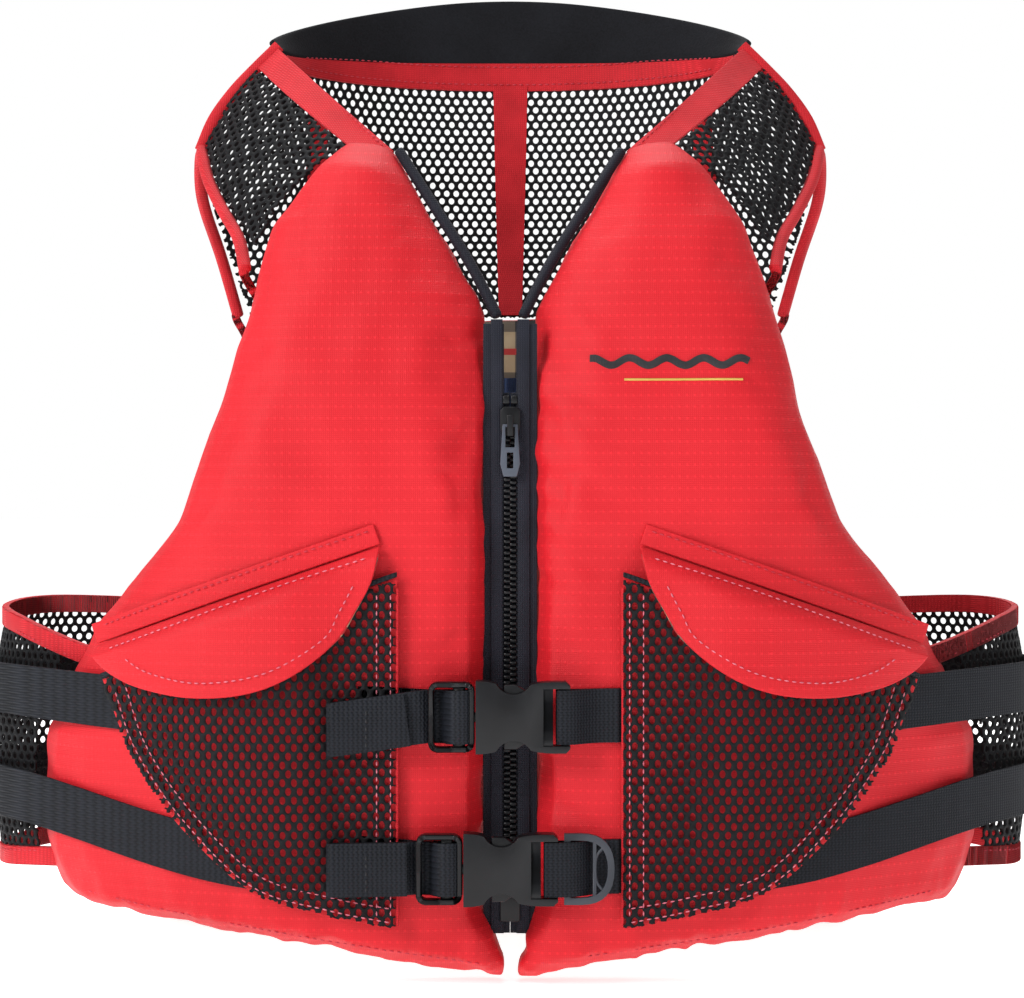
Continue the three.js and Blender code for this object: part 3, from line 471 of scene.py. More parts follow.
def softLight(name, at, size, power, tint=(1, 1, 1)):
    lamp = bpy.data.objects.new(name, bpy.data.lights.new(name, "AREA"))
    lamp.data.size = size
    lamp.data.energy = power
    lamp.data.color = tint
    lamp.location = at
    lamp.rotation_euler = (Vector((0, 0, 0.25)) - Vector(at)).to_track_quat("-Z", "Y").to_euler()
    bpy.context.scene.collection.objects.link(lamp)


softLight("key from the left", (-1.5, -1.4, 1.2), 0.8, 36)
softLight("fill from the right", (1.7, -1.6, 0.8), 1.6, 5)
softLight("top", (-0.1, 0.4, 1.9), 1.2, 22)
softLight("rear", (0.2, 2.0, 0.9), 1.6, 16)
world = bpy.data.worlds.new("studio")
bpy.context.scene.world = world
world.use_nodes = True
sky = world.node_tree
ambient = sky.nodes["Background"]
ambient.inputs[0].default_value = (1, 1, 1, 1)
ambient.inputs[1].default_value = 0.34
backdrop = sky.nodes.new("ShaderNodeBackground")
backdrop.inputs[0].default_value = (1, 1, 1, 1)
backdrop.inputs[1].default_value = 1.0
seen = sky.nodes.new("ShaderNodeLightPath")
either = sky.nodes.new("ShaderNodeMixShader")
sky.links.new(seen.outputs["Is Camera Ray"], either.inputs[0])
sky.links.new(ambient.outputs[0], either.inputs[1])
sky.links.new(backdrop.outputs[0], either.inputs[2])
sky.links.new(either.outputs[0], sky.nodes["World Output"].inputs[0])

bm = bmesh.new()
bmesh.ops.create_grid(bm, x_segments=2, y_segments=2, size=25)
floorMesh = bpy.data.meshes.new("floor")
bm.to_mesh(floorMesh)
bm.free()
floor = bpy.data.objects.new("floor", floorMesh)
bpy.context.scene.collection.objects.link(floor)
floorMat, floorTree, floorShader = newMaterial("pale floor")
floorShader.inputs["Base Color"].default_value = (0.93, 0.93, 0.93, 1)
floorShader.inputs["Roughness"].default_value = 0.9
floorShader.inputs["Emission Color"].default_value = (1, 1, 1, 1)
floorShader.inputs["Emission Strength"].default_value = 0.7
floorMesh.materials.append(floorMat)
print("camera, light and floor set")


# ---- padded panels ----
panelPad = {"voxel": 0.004, "pressure": 4.0, "cap": 0.006, "least": 0.0005, "frames": 14, "fuller": 0.0007}


def applied(piece):
    depsgraph = bpy.context.evaluated_depsgraph_get()
    mesh = bpy.data.meshes.new_from_object(piece.evaluated_get(depsgraph))
    piece.modifiers.clear()
    piece.data = mesh
    return piece


def roomAt(x, y, z):
    # 0 where straps and pockets lie on the panel, 1 where it may swell freely
    if y < 0.02:
        return min(1.0, max(0.0, (z - 0.212) / 0.05))
    return 1.0 if abs(x) < 0.10 else min(1.0, max(0.0, (z - 0.175) / 0.05))


def puffed(piece, pad):
    remesh = piece.modifiers.new("voxels", "REMESH")
    remesh.mode = "VOXEL"
    remesh.voxel_size = pad["voxel"]
    applied(piece)
    before = np.empty(len(piece.data.vertices) * 3)
    piece.data.vertices.foreach_get("co", before)
    cloth = piece.modifiers.new("padding", "CLOTH")
    cloth.settings.use_pressure = True
    cloth.settings.uniform_pressure_force = pad["pressure"]
    cloth.settings.quality = 5
    cloth.settings.effector_weights.gravity = 0
    cloth.point_cache.frame_end = pad["frames"]
    for step in range(1, pad["frames"] + 1):
        bpy.context.scene.frame_set(step)
    applied(piece)
    bpy.context.scene.frame_set(1)
    after = np.empty(len(piece.data.vertices) * 3)
    piece.data.vertices.foreach_get("co", after)
    normals = np.empty(len(before))
    piece.data.vertices.foreach_get("normal", normals)
    normals = normals.reshape(-1, 3)
    outward = ((after - before).reshape(-1, 3) * normals).sum(1)
    room = np.array([roomAt(*v) for v in before.reshape(-1, 3)])
    outward = np.clip(outward, 0, pad["least"] + (pad["cap"] - pad["least"]) * room)
    outward *= 0.35 + 0.65 * np.abs(normals[:, 1])
    piece.data.vertices.foreach_set("co", (before.reshape(-1, 3) + normals * outward[:, None]).ravel())
    return piece


def creased(piece, side):
    # short pulls across the zip edge, up from the hem and in from the side seam
    mesh = piece.data
    co = np.empty(len(mesh.vertices) * 3)
    mesh.vertices.foreach_get("co", co)
    co = co.reshape(-1, 3)
    no = np.empty(len(mesh.vertices) * 3)
    mesh.vertices.foreach_get("normal", no)
    no = no.reshape(-1, 3)
    for i, (x, y, z) in enumerate(co):
        ax = abs(x)
        zipEdge = math.exp(-((ax - 0.016) / 0.022) ** 2) if z < 0.33 else 0
        hemLine = 0.0 + 0.13 * ax
        hem = math.exp(-((z - hemLine - 0.012) / 0.020) ** 2)
        slow = noise.noise(Vector((x * 14 + side * 9, y * 14, z * 14)))
        acrossZip = noise.noise(Vector((x * 30, side * 5, z * 75 + 40 * ax)))
        upHem = noise.noise(Vector((x * 95, side * 7, z * 20)))
        sideEdge = math.exp(-((ax - 0.215) / 0.03) ** 2)
        inSide = noise.noise(Vector((x * 18, side * 3, z * 60)))
        room = roomAt(x, y, z)
        pull = noise.noise(Vector((x * 26 + z * 12, y * 20, z * 26 - x * 12 + side)))
        depth = panelPad["fuller"] * (1 + room) + (0.0006 + 0.0016 * room) * slow
        depth -= zipEdge * 0.0044 * abs(acrossZip) + hem * 0.0040 * abs(upHem) + sideEdge * 0.003 * abs(inSide)
        depth -= 0.0022 * max(0, abs(pull) - 0.12)
        co[i][2] += 0.005 * min(1.0, max(0.0, (z - 0.375) / 0.03)) if y < 0.02 else 0.0
        co[i] += no[i] * depth
    mesh.vertices.foreach_set("co", co.ravel())
    mesh.update()


def splitFaces(mesh, facing):
    # the face towards the wearer is lining
    for face in mesh.polygons:
        face.use_smooth = True
        face.material_index = 1 if face.normal.y * facing > 0.45 else 0


def paddedPanel(name, foam, shell, liningNode, facing, side):
    piece = asPiece(nodeCopy(foam), name, [red, lining], "vest", (foam, shell, liningNode))
    puffed(piece, panelPad)
    creased(piece, side)
    smooth = piece.modifiers.new("smooth", "SUBSURF")
    smooth.levels = smooth.render_levels = 1
    applied(piece)
    if not piece.data.materials:
        piece.data.materials.append(red)
        piece.data.materials.append(lining)
    splitFaces(piece.data, facing)
    clothMap(piece.data)
    return piece


panels = {
    "right": paddedPanel("front_panel_right", "front_foam_right", "front_shell_right", "front_lining_right", 1, 1),
    "left": paddedPanel("front_panel_left", "front_foam_left", "front_shell_left", "front_lining_left", 1, -1),
    "back": paddedPanel("back_panel", "back_foam", "back_shell", "back_lining", -1, 2),
}
print("panels padded")


# ---- cloth pieces that follow their frame shape ----
def softened(node, name, mat, edge=0.0003, levels=2, body="vest", woven=False):
    bm = nodeCopy(node)
    bmesh.ops.join_triangles(bm, faces=bm.faces, cmp_seam=False, cmp_sharp=False, cmp_uvs=False,
                             cmp_vcols=False, cmp_materials=False,
                             angle_face_threshold=math.radians(60), angle_shape_threshold=math.radians(60))
    rim = [e for e in bm.edges if len(e.link_faces) == 2 and e.calc_face_angle(0) > math.radians(50)]
    bmesh.ops.bevel(bm, geom=rim, offset=edge, segments=2, affect="EDGES", profile=0.5, material=-1,
                    clamp_overlap=True)
    piece = asPiece(bm, name, mat, body, (node,))
    smoother(piece, levels)
    applied(piece)
    if woven:
        clothMap(piece.data)
    return piece


def fuller(piece, by):
    normals = [v.normal.copy() for v in piece.data.vertices]
    for v, normal in zip(piece.data.vertices, normals):
        v.co += normal * by
    return piece


collar = softened("collar", "neck_collar", neoprene, 0.0012, 3)
collarLow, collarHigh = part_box("collar")
for v in collar.data.vertices:
    share = (v.co.z - collarLow.z) / (collarHigh.z - collarLow.z)
    v.co.z += 0.001 * share - 0.005 * (1 - share)
neckBand = softened("neck_binding", "neck_band_rear", bindingRed)
bandLow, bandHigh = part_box("neck_binding")
for v in neckBand.data.vertices:
    share = 1 - (v.co.z - bandLow.z) / (bandHigh.z - bandLow.z)
    v.co.z -= 0.007 * max(0, share)  # its lower edge covers the top of the net
softened("back_centre_tape", "centre_tape", bindingRed, 0.0002)
softened("side_tab", "side_label", whiteTab, 0.0002)
for side in ("right", "left"):
    softened(f"neck_strap_{side}", f"neck_band_{side}", bindingRed)
    fuller(softened(f"armhole_binding_{side}", f"armhole_edge_{side}", bindingRed, 0.0005), 0.0012)
    fuller(softened(f"neck_piping_{side}", f"neck_cord_edge_{side}", navy, 0.0005), 0.0011)
    softened(f"pocket_backing_{side}", f"pocket_back_{side}", red, 0.0002, 2, "vest", True)
    softened(f"pocket_elastic_{side}", f"pocket_band_{side}", black, 0.0004)
    softened(f"flap_hem_{side}", f"flap_strip_{side}", red, 0.0006, 2, "vest", True)
    flap = softened(f"pocket_flap_{side}", f"flap_{side}", red, 0.001, 3, f"{side}_flap", True)
for node, body in (("upper_strap_right", "vest"), ("lower_strap_right", "vest"),
                   ("upper_side_strap_left", "vest"), ("lower_side_strap_left", "vest")):
    softened(node, f"{node}_webbing", black, 0.0003, 2, body)
print("cloth pieces made")


# ---- nets ----
def ringRun(pitch, hole, columns, rows):
    # six-sided cells with rounded holes, joined at their edges, made by doubling one cell
    bm = bmesh.new()
    bmesh.ops.create_circle(bm, segments=6, radius=1.0)
    bmesh.ops.scale(bm, vec=(pitch[0] / math.sqrt(3), pitch[1] / 1.5, 1), verts=bm.verts)
    bmesh.ops.subdivide_edges(bm, edges=bm.edges[:], cuts=1)
    outside = bm.edges[:]
    made = bmesh.ops.create_circle(bm, segments=12, radius=0.5)
    bmesh.ops.scale(bm, vec=(hole[0], hole[1], 1), verts=made["verts"])
    bmesh.ops.bridge_loops(bm, edges=bm.edges[:])
    bmesh.ops.recalc_face_normals(bm, faces=bm.faces)

    def copyTo(geom, step):
        made = bmesh.ops.duplicate(bm, geom=geom)
        moved = [g for g in made["geom"] if isinstance(g, bmesh.types.BMVert)]
        bmesh.ops.translate(bm, vec=step, verts=moved)

    def doubled(count, step, axis):
        done = 1
        unit = len(bm.faces)
        while done < count:
            take = min(done, count - done)
            order = sorted(bm.faces, key=lambda f: round(f.calc_center_median()[axis] / step[axis] - 0.001))
            copyTo(bm.faces[:] if take == done else order[:take * unit], Vector(step) * done)
            done += take
    doubled(columns, (pitch[0], 0, 0), 0)
    copyTo(bm.faces[:], (pitch[0] / 2, pitch[1], 0))
    doubled((rows + 1) // 2, (0, pitch[1] * 2, 0), 1)
    bmesh.ops.remove_doubles(bm, verts=bm.verts, dist=pitch[0] * 0.03)
    return bm


def netOver(node, name, width, height, rayAt, pitch, hole, thick, lift=0.0, reach=1.0):
    target = nodeCopy(node)
    tree = BVHTree.FromBMesh(target)
    target.free()
    columns = int(width / pitch[0]) + 2
    rows = int(height / pitch[1]) + 2
    bm = ringRun(pitch, hole, columns, rows)
    lost = []
    for v in bm.verts:
        start, way = rayAt(v.co.x - pitch[0], v.co.y - pitch[1])
        hit, normal, _, _ = tree.ray_cast(start, way)
        if hit is None or (hit - start).length > reach or abs(normal.dot(way.normalized())) < 0.25:
            lost.append(v)
            continue
        v.co = hit - way.normalized() * lift
    bmesh.ops.delete(bm, geom=lost, context="VERTS")
    piece = asPiece(bm, name, net, "vest", (node,))
    thickness(piece, thick, 0.0)
    applied(piece)
    return piece


def planeRays(node, towards, up):
    low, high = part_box(node)
    centre = (low + high) / 2
    way = Vector(towards).normalized()
    vAxis = (Vector(up) - way * Vector(up).dot(way)).normalized()
    uAxis = vAxis.cross(-way).normalized()
    corners = [Vector((x, y, z)) for x in (low.x, high.x) for y in (low.y, high.y) for z in (low.z, high.z)]
    us = [(c - centre).dot(uAxis) for c in corners]
    vs = [(c - centre).dot(vAxis) for c in corners]

    def rayAt(u, v):
        return centre + uAxis * (min(us) + u) + vAxis * (min(vs) + v) - way * 0.4, way
    return max(us) - min(us), max(vs) - min(vs), rayAt


def roundRays(plan, low, high):
    # u runs along the plan curve, v up; each ray comes in square to the curve
    run = curveThrough([spot(x, y, 0) for x, y in plan], 16)
    far = [0.0]
    for a, b in zip(run, run[1:]):
        far.append(far[-1] + (b - a).length)

    def rayAt(u, v):
        u = max(0.0, min(far[-1] - 1e-6, u))
        i = max(k for k in range(len(far)) if far[k] <= u) if u > 0 else 0
        i = min(i, len(run) - 2)
        step = run[i + 1] - run[i]
        at = run[i] + step * ((u - far[i]) / step.length)
        before = run[max(i - 5, 0)]
        after = run[min(i + 6, len(run) - 1)]
        way = Vector((0, 0, 1)).cross((after - before).normalized())
        return Vector((at.x, at.y, low + v)) - way * 0.06, way
    return far[-1], high - low, rayAt


coarse = {"pitch": (0.0053, 0.0043), "hole": (0.0033, 0.0036), "thick": 0.0009}
fine = {"pitch": (0.0054, 0.0041), "hole": (0.0028, 0.0039), "thick": 0.0008}
for side, sign in (("right", 1), ("left", -1)):
    w, h, rays = planeRays(f"pocket_mesh_{side}", (0, 1, 0), (0, 0, 1))
    netOver(f"pocket_mesh_{side}", f"pocket_net_{side}", w, h, rays, fine["pitch"], fine["hole"], fine["thick"])
    w, h, rays = planeRays(f"shoulder_mesh_{side}", (-sign * 0.35, 0.75, -0.55), (0, 0, 1))
    netOver(f"shoulder_mesh_{side}", f"shoulder_net_{side}", w, h, rays, coarse["pitch"], coarse["hole"],
            coarse["thick"])
    plan = [(sign * x, y) for x, y in ((216, -64), (240, -39), (259, -18), (266, 8), (252, 46), (222, 62), (188, 76))]
    if sign < 0:
        plan.reverse()
    low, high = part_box(f"side_mesh_{side}")
    w, h, rays = roundRays(plan, low.z, high.z)
    netOver(f"side_mesh_{side}", f"side_net_{side}", w, h, rays, coarse["pitch"], coarse["hole"], coarse["thick"],
            0.0, 0.11)
plan = ((163, -4), (164, 18), (161, 40), (150, 64), (124, 82), (80, 94), (30, 101))
plan = plan + tuple((-x, y) for x, y in reversed(plan))
low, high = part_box("back_mesh")
w, h, rays = roundRays(plan, low.z, high.z)
netOver("back_mesh", "back_net", w, h, rays, coarse["pitch"], coarse["hole"], coarse["thick"], 0.0, 0.105)
print("nets made")


# ---- moulded hardware ----
def moulding(node, name, mat, body, edge):
    bm = nodeCopy(node)
    bmesh.ops.dissolve_limit(bm, angle_limit=math.radians(2), verts=bm.verts, edges=bm.edges)
    sharp = [e for e in bm.edges if len(e.link_faces) == 2 and e.calc_face_angle(0) > math.radians(25)]
    bmesh.ops.bevel(bm, geom=sharp, offset=edge, segments=3, affect="EDGES", profile=0.5, material=-1,
                    clamp_overlap=True)
    bmesh.ops.triangulate(bm, faces=[f for f in bm.faces if len(f.verts) > 4])
    piece = asPiece(bm, name, mat, body, (node,))
    piece.data.set_sharp_from_angle(angle=math.radians(35))
    return piece


buckle = {"back": -130.4, "middle": -135.4, "scallopAt": 17.7, "scallopRise": 20.0, "scallopRadius": 9.2}
buckleAt = {"upper": (-16.0, 130.4), "lower": (-21.7, 59.5)}


def buckleBody(level):
    mouthX, z = buckleAt[level]
    bm = nodeCopy(f"{level}_buckle_female")
    bmesh.ops.dissolve_limit(bm, angle_limit=math.radians(2), verts=bm.verts, edges=bm.edges)
    piece = asPiece(bm, f"{level}_buckle_body", plastic, "vest", (f"{level}_buckle_female",))
    cutter = bmesh.new()
    for way in (1, -1):
        at = spot(mouthX + buckle["scallopAt"], buckle["middle"], z + way * buckle["scallopRise"])
        turn = Matrix.Translation(at) @ Matrix.Rotation(math.pi / 2, 4, "X")
        bmesh.ops.create_cone(cutter, cap_ends=True, segments=48, radius1=buckle["scallopRadius"] * mm,
                              radius2=buckle["scallopRadius"] * mm, depth=0.03, matrix=turn)
    cutMesh = bpy.data.meshes.new("scallops")
    cutter.to_mesh(cutMesh)
    cutter.free()
    scallops = bpy.data.objects.new("scallops", cutMesh)
    bpy.context.scene.collection.objects.link(scallops)
    mod = piece.modifiers.new("scallops", "BOOLEAN")
    mod.object = scallops
    mod.operation = "DIFFERENCE"
    applied(piece)
    bpy.data.objects.remove(scallops)
    bm = bmesh.new()
    bm.from_mesh(piece.data)
    swept(bm, [spot(mouthX + 33.4, buckle["middle"] + 0.3, z + h) for h in (-13.5, 0, 13.5)], 5.2 * mm, 8.6 * mm,
          (1, 0, 0))
    sharp = [e for e in bm.edges if len(e.link_faces) == 2 and e.calc_face_angle(0) > math.radians(30)]
    bmesh.ops.bevel(bm, geom=sharp, offset=0.0009, segments=3, affect="EDGES", profile=0.5, material=-1,
                    clamp_overlap=True)
    bmesh.ops.triangulate(bm, faces=[f for f in bm.faces if len(f.verts) > 4])
    bm.to_mesh(piece.data)
    bm.free()
    for face in piece.data.polygons:
        face.use_smooth = True
    piece.data.set_sharp_from_angle(angle=math.radians(35))


def buckleFrame(level):
    # an open ladder frame: outer bar, round middle bar and the shoulder at the mouth
    mouthX, z = buckleAt[level]
    bm = bmesh.new()
    half, left, right, bend = 15.1, -20.9, -1.9, 3.2
    corners = []
    for cx, cz, start in ((right - bend, half - bend, 0), (left + bend, half - bend, 90),
                          (left + bend, bend - half, 180), (right - bend, bend - half, 270)):
        for k in range(5):
            turn = math.radians(start + 22.5 * k)
            corners.append(spot(mouthX + cx + bend * math.cos(turn), buckle["middle"], z + cz + bend * math.sin(turn)))
    swept(bm, corners + [corners[0], corners[1]], 6.6 * mm, 2.7 * mm, (0, 1, 0), 4)
    swept(bm, [spot(mouthX - 7.8, buckle["middle"] - 0.2, z + h) for h in (-14.5, 0, 14.5)], 6.4 * mm, 3.4 * mm,
          (1, 0, 0), 8)
    tongue = [spot(mouthX + x, buckle["middle"], z) for x in (-2.5, 10, 22)]
    swept(bm, tongue, 4.2 * mm, 4.0 * mm, (0, 0, 1), 4)
    long = [e for e in bm.edges if len(e.link_faces) == 2 and e.calc_face_angle(0) > math.radians(50)]
    bmesh.ops.bevel(bm, geom=long, offset=0.0007, segments=3, affect="EDGES", profile=0.5, material=-1,
                    clamp_overlap=True)
    piece = asPiece(bm, f"{level}_buckle_frame", plastic, f"{level}_male", (f"{level}_buckle_male",))
    piece.data.set_sharp_from_angle(angle=math.radians(40))


adjuster = {"wide": 25.0, "thick": 1.5, "fold": -85.0, "end": -48.0}


def adjustStrap(level, fall, rise):
    # up behind the frame, over the middle bar, back behind the outer bar, then the folded tail
    mouthX, z = buckleAt[level]
    fold, end = adjuster["fold"], adjuster["end"]

    def at(x, y):
        away = max(0.0, min(1.0, (mouthX - 24 - x) / 44))
        return spot(x, y, z + (rise * away if y > -131.2 else -fall * away))
    points = [at(-72, -127.9), at(-60, -128.4), at(-48, -129.2), at(mouthX - 22, -130.3), at(mouthX - 8, -130.6),
              at(mouthX - 3.1, -132.4), at(mouthX - 2.7, -136.4), at(mouthX - 5.2, -138.9), at(mouthX - 10.4, -138.9),
              at(mouthX - 13.2, -136.2), at(mouthX - 16.0, -132.6), at(mouthX - 22, -132.0), at(mouthX - 27, -133.6),
              at(-56, -134.2), at(-70, -134.6), at(fold + 2.2, -135.2)]
    tail = [at(end, -136.4), at(end - 5, -136.6), at(-70, -137.2), at(fold + 2.4, -137.8), at(fold + 0.4, -137.2),
            at(fold, -136.2), at(fold + 0.8, -135.4)]
    strip(f"{level}_strap_tail", tail, adjuster["wide"] * mm, adjuster["thick"] * mm, black,
          f"{level}_male", (0, 0, 1), 4, 5, (), 0.0003)
    strip(f"{level}_adjust_strap", points, adjuster["wide"] * mm, adjuster["thick"] * mm, black,
          f"{level}_male", (0, 0, 1), 4, 5, (f"{level}_strap_left",), 0.0003)
    seam = [at(-67.0, -138.0) + Vector((0, 0, h * mm)) for h in (-11, 0, 11)]
    sewn(f"{level}_tail_seam", [seam], threadBlack, f"{level}_male")


adjustStrap("upper", 6.0, 2.0)
adjustStrap("lower", 0.5, 3.5)
for level in ("upper", "lower"):
    buckleBody(level)
    buckleFrame(level)
    moulding(f"{level}_prong_top", f"{level}_button_top", plastic, f"{level}_prong_up", 0.0005)
    moulding(f"{level}_prong_bottom", f"{level}_button_bottom", plastic, f"{level}_prong_down", 0.0005)
moulding("accessory_ring", "strap_ring", ringPlastic, "ring", 0.0008)
ringStrut = {"wide": 1.5, "thick": 1.6, "y": -135.4}
for way in (1, -1):
    points = [spot(39.3, ringStrut["y"], 59.5 + way * 1.0), spot(40.6, ringStrut["y"], 59.5 + way * 6.5),
              spot(44.0, ringStrut["y"], 59.5 + way * 10.5)]
    strip(f"ring_strut_{'top' if way > 0 else 'bottom'}", points, ringStrut["wide"] * mm, ringStrut["thick"] * mm,
          ringPlastic, "ring", (0, 0, 1), 8)
moulding("zipper_slider", "slider_body", plastic, "zip_slider", 0.0003)
moulding("zipper_pull", "slider_pull", pullPlastic, "pull_tab", 0.0003)
moulding("zipper_box", "zip_end_box", plastic, "vest", 0.0005)
print("hardware made")


# ---- zip ----
zipTeeth = {"pitch": 0.0027, "size": (0.0034, 0.0034, 0.0017), "bottom": 0.0448, "top": 0.2745}


def toothRow(side, sign):
    low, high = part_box(f"zipper_teeth_{side}")
    bm = bmesh.new()
    bmesh.ops.create_cube(bm, size=1.0)
    bmesh.ops.scale(bm, vec=zipTeeth["size"], verts=bm.verts)
    bmesh.ops.bevel(bm, geom=bm.edges[:], offset=0.0004, segments=1, affect="EDGES", profile=0.5, material=-1,
                    clamp_overlap=True)
    start = zipTeeth["bottom"] + (zipTeeth["pitch"] / 2 if sign > 0 else 0)
    where = Vector((sign * 0.00145, (low.y + high.y) / 2, start))
    bmesh.ops.translate(bm, vec=where, verts=bm.verts)
    count = int((zipTeeth["top"] - start) / zipTeeth["pitch"])
    first = bm.faces[:]
    for i in range(1, count):
        made = bmesh.ops.duplicate(bm, geom=first)
        moved = [g for g in made["geom"] if isinstance(g, bmesh.types.BMVert)]
        bmesh.ops.translate(bm, vec=(0, 0, zipTeeth["pitch"] * i), verts=moved)
    return asPiece(bm, f"zip_teeth_{side}", plastic, "vest", (f"zipper_teeth_{side}",))


for side, sign in (("right", 1), ("left", -1)):
    toothRow(side, sign)
    tape = softened(f"zipper_tape_{side}", f"zip_tape_{side}", navy, 0.0002, 1)
    for v in tape.data.vertices:
        if abs(v.co.x) > 0.0055:
            v.co.x += sign * 0.0045  # tucked under the panel edge
        if v.co.z < 0.05:
            v.co.z -= 0.020
    strip(f"zip_fold_{side}", [spot(sign * 6.4, -107.7, z) for z in (26, 120, 220, 318)], 5.6 * mm, 0.7 * mm, navy,
          "vest", (1, 0, 0), 4, 4, (), 0.0002)
    strip(f"zip_core_{side}", [spot(sign * 1.75, -105.0, z) for z in (24, 120, 220, 283)], 3.3 * mm, 0.8 * mm, navy,
          "vest", (1, 0, 0), 4, 4, (), 0.0002)
    strip(f"zip_stop_{side}", [spot(sign * 1.9, -106.8, z) for z in (277.5, 279.6, 281.4)], 3.2 * mm, 2.8 * mm,
          plastic, "vest", (1, 0, 0), 4, 1, (), 0.0004)
print("zip made")


# ---- bound edges, seams and stitching ----
for side, sign in (("right", 1), ("left", -1)):
    ridgePath = [spot(sign * x, y, z) for x, y, z in ((123, 14, 473), (136, 13, 460), (147, 12, 448), (157, 9, 433),
                                                     (163.5, 5, 416))]
    strip(f"shoulder_edge_{side}", ridgePath, 6.5 * mm, 2.6 * mm, bindingRed, "vest", (-sign, 0, -1), 8)
    backTree = treeOf("back_mesh")
    tapeRun = [nearOn(backTree, spot(sign * x, 70, z), 0.0008) for x, z in ((112, 456), (108, 430), (104, 400),
                                                                          (101, 370), (100, 338))]
    strip(f"back_tape_{side}", tapeRun, 11 * mm, 0.7 * mm, bindingRed, "vest", (1, 0, 0))

    backTree = treeOf("back_shell")
    frontEnd = [(132.0, -63.2, 345.5), (130.6, -62.8, 342), (126.0, -61, 334), (120, -58, 326)]
    edge = [(153.4, 85.4, 336.0), (152.4, 85.6, 332)]
    for z in (320, 304):
        hit = backTree.ray_cast(Vector((sign * 0.4, 0.085, z * mm)), Vector((-sign, 0, 0)))[0]
        if hit is not None:
            edge.append((abs(hit.x) / mm - 3.5, 84, z))
    for end, run in (("front", frontEnd), ("back", edge)):
        strip(f"armhole_end_{end}_{side}", [Vector((sign * x * mm, y * mm, z * mm)) for x, y, z in run], 4.8 * mm,
              4.2 * mm, bindingRed, "vest", (0, 1, 0), 4, 6, (), 0.0014)
    topRun = [spot(sign * x, y, z) for x, y, z in ((203, -64, 152), (220, -56, 157), (248, -30, 166), (265.5, 4, 172),
                                                  (249, 46, 175), (190.5, 72.8, 172), (172, 79, 170))]
    lowRun = [spot(sign * x, y, z) for x, y, z in ((224, -50, 52), (238, -40.9, 51), (259, -22, 49), (266, 10, 48), (250, 48, 49),
                                                  (202.5, 69.2, 51), (186, 76, 52))]
    for edge, run in (("top", topRun), ("bottom", lowRun)):  # flat folded bindings over the net's edges
        strip(f"side_edge_{edge}_{side}", run, 9.5 * mm, 4.0 * mm, bindingRed, "vest", (0, 0, 1), 4, 8,
              (f"side_{edge}_binding_{side}",), 0.0006)
        lift = Vector((0, 0, -0.0028 if edge == "top" else 0.0028))
        sewn(f"side_stitching_{edge}_{side}", [[Vector((p.x * 1.008, p.y - 0.0012, p.z)) + lift for p in run[1:4]]], threadRed)

    pocketTree = treeOf(f"pocket_mesh_{side}")

    def onPocket(points):
        return [onFront(pocketTree, sign * x, z, 0.0006) for x, z in points]
    lines = [onPocket([(x, z) for z in (36, 70, 110, 150, 190)]) for x in (56, 62.5)]
    lines.append(onPocket([(56, 33.5), (85, 39.5), (121, 50.5), (154, 80), (178, 112), (190, 143)]))
    lines.append(onPocket([(56, 40), (84, 45.5), (118, 56), (149, 84), (172, 114), (184, 145)]))
    sewn(f"pocket_stitching_{side}", lines, threadPink)
    rim = [onFront(pocketTree, sign * x, z, 0.0001) for x, z in ((52.6, 32), (52.6, 110), (52.6, 190))]
    strip(f"pocket_edge_{side}", rim, 1.6 * mm, 1.8 * mm, bindingRed, "vest", (1, 0, 0), 8)

    flapTree = treeOf(f"pocket_flap_{side}")

    def onFlap(points):
        return [onFront(flapTree, sign * x, z, 0.0006) for x, z in points]
    border = [(73, 192), (80, 179), (88, 166), (114, 151), (145, 146), (170, 150), (184, 157)]
    foldLine = [(67, 204), (100, 193.5), (130, 183), (165, 170), (192, 160)]
    sewn(f"flap_stitching_{side}", [onFlap(border), onFlap(foldLine)], threadPink, f"{side}_flap")
    lip = [onFront(flapTree, sign * x, z, 0.0004) + Vector((0, 0.0022, 0))
           for x, z in ((62.3, 206), (66.4, 192), (73, 180), (81, 167), (97, 154))]
    strip(f"flap_piping_{side}", lip, 2.2 * mm, 2.2 * mm, lining, f"{side}_flap", (1, 0, 0), 8)
    hemTree = treeOf(f"flap_hem_{side}")
    hemLine = [onFront(hemTree, sign * x, z, 0.0005) for x, z in ((66, 217), (100, 206), (135, 193.5), (170, 181), (199, 170))]
    sewn(f"strip_stitching_{side}", [hemLine], threadRed)

    strapTree = treeOf(f"neck_strap_{side}")
    strapLines = []
    for out in (1.5, 13.5):
        path = ((60, -66, 408), (78, -45, 425), (92, -30, 439), (108, -8, 456), (122, 12, 470))
        strapLines.append([nearOn(strapTree, spot(sign * (x + out * 0.75), y, z - out * 0.5), 0.0005,
                                  (0, -0.8, 0.5)) for x, y, z in path])
    sewn(f"neck_strap_stitching_{side}", strapLines, threadRed)

    skin = BVHTree.FromObject(panels[side], bpy.context.evaluated_depsgraph_get())
    hemRun = [onFront(skin, sign * x, z, 0.0003) for x, z in ((14, 12), (62, 19), (120, 28), (175, 36), (208, 40))]
    sewn(f"hem_stitching_{side}", [hemRun], threadRed)

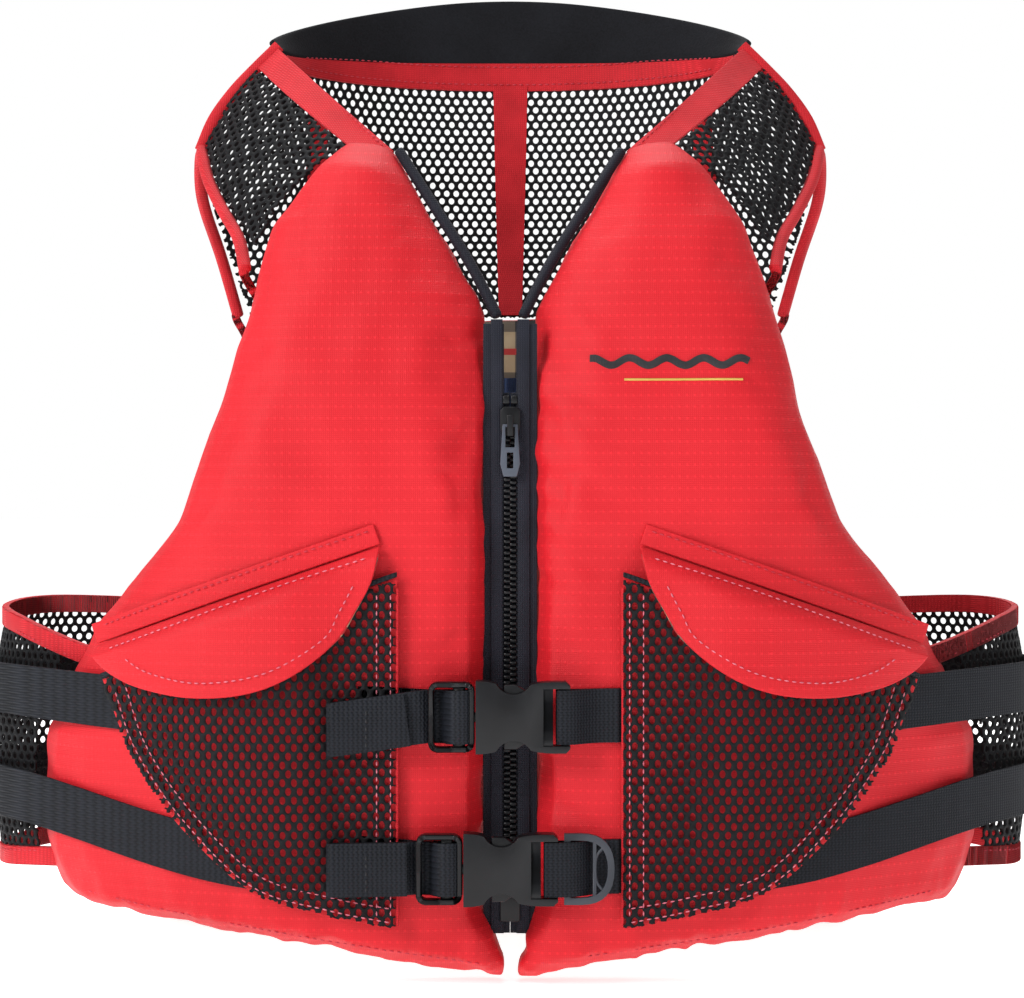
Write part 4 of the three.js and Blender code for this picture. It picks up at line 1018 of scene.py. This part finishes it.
bandTree = BVHTree.FromObject(neckBand, bpy.context.evaluated_depsgraph_get())
arc = [(-112, 52), (-98, 70), (-80, 84), (-54, 96), (-28, 102), (0, 104), (28, 102), (54, 96), (80, 84), (98, 70),
       (112, 52)]
bandLines = [[nearOn(bandTree, spot(x * 0.97, y - 4, z), 0.0005) for x, y in arc] for z in (468.5, 478.5)]
sewn("neck_band_stitching", bandLines, threadRed)

backSkin = BVHTree.FromObject(panels["back"], bpy.context.evaluated_depsgraph_get())


def onBack(points, lift=0.0003):
    run = []
    for x, z in points:
        at = spot(x, 0, z)
        hit, normal, _, _ = backSkin.ray_cast(Vector((at.x, 0.5, at.z)), Vector((0, -1, 0)))
        run.append((hit or Vector((at.x, 0.12, at.z))) + Vector((0, lift, 0)))
    return run


backSeams = [onBack([(x, 14) for x in (-178, -90, 0, 90, 178)]), onBack([(x, 322) for x in (-136, -70, 0, 70, 136)])]
for sign in (1, -1):
    backSeams.append(onBack([(sign * x, z) for x, z in ((184, 22), (188, 60), (188, 110), (181, 155), (168, 195),
                                                       (154, 240), (142, 290), (137, 318))]))
sewn("back_stitching", backSeams, threadRed)


# ---- small trim ----
def insideBack(x, z, lift=0.0008):
    at = spot(x, 0, z)
    hit, normal, _, _ = backSkin.ray_cast(Vector((at.x, 0.0, at.z)), Vector((0, 1, 0)))
    return hit + Vector((0, -lift, 0))


strip("size_patch", [insideBack(x, 291) for x in (-17, 0, 17)], 17 * mm, 0.9 * mm, bluePatch, "vest",
      (0, 0, 1), 4, 4, (), 0.0003)
rightSkin = BVHTree.FromObject(panels["right"], bpy.context.evaluated_depsgraph_get())
wave = [onFront(rightSkin, x, 297 + 1.8 * math.sin(x * 0.36), 0.0004) for x in range(38, 116, 3)]
strip("stitched_wave", wave, 3.6 * mm, 1.1 * mm, threadBlack, "vest", (0, 0, 1), 8, 3)
underline = [onFront(rightSkin, x, 288.5, 0.0003) for x in range(54, 112, 8)]
strip("stitched_underline", underline, 1.1 * mm, 0.9 * mm, gold, "vest", (0, 0, 1), 8, 3)
print("trim made")
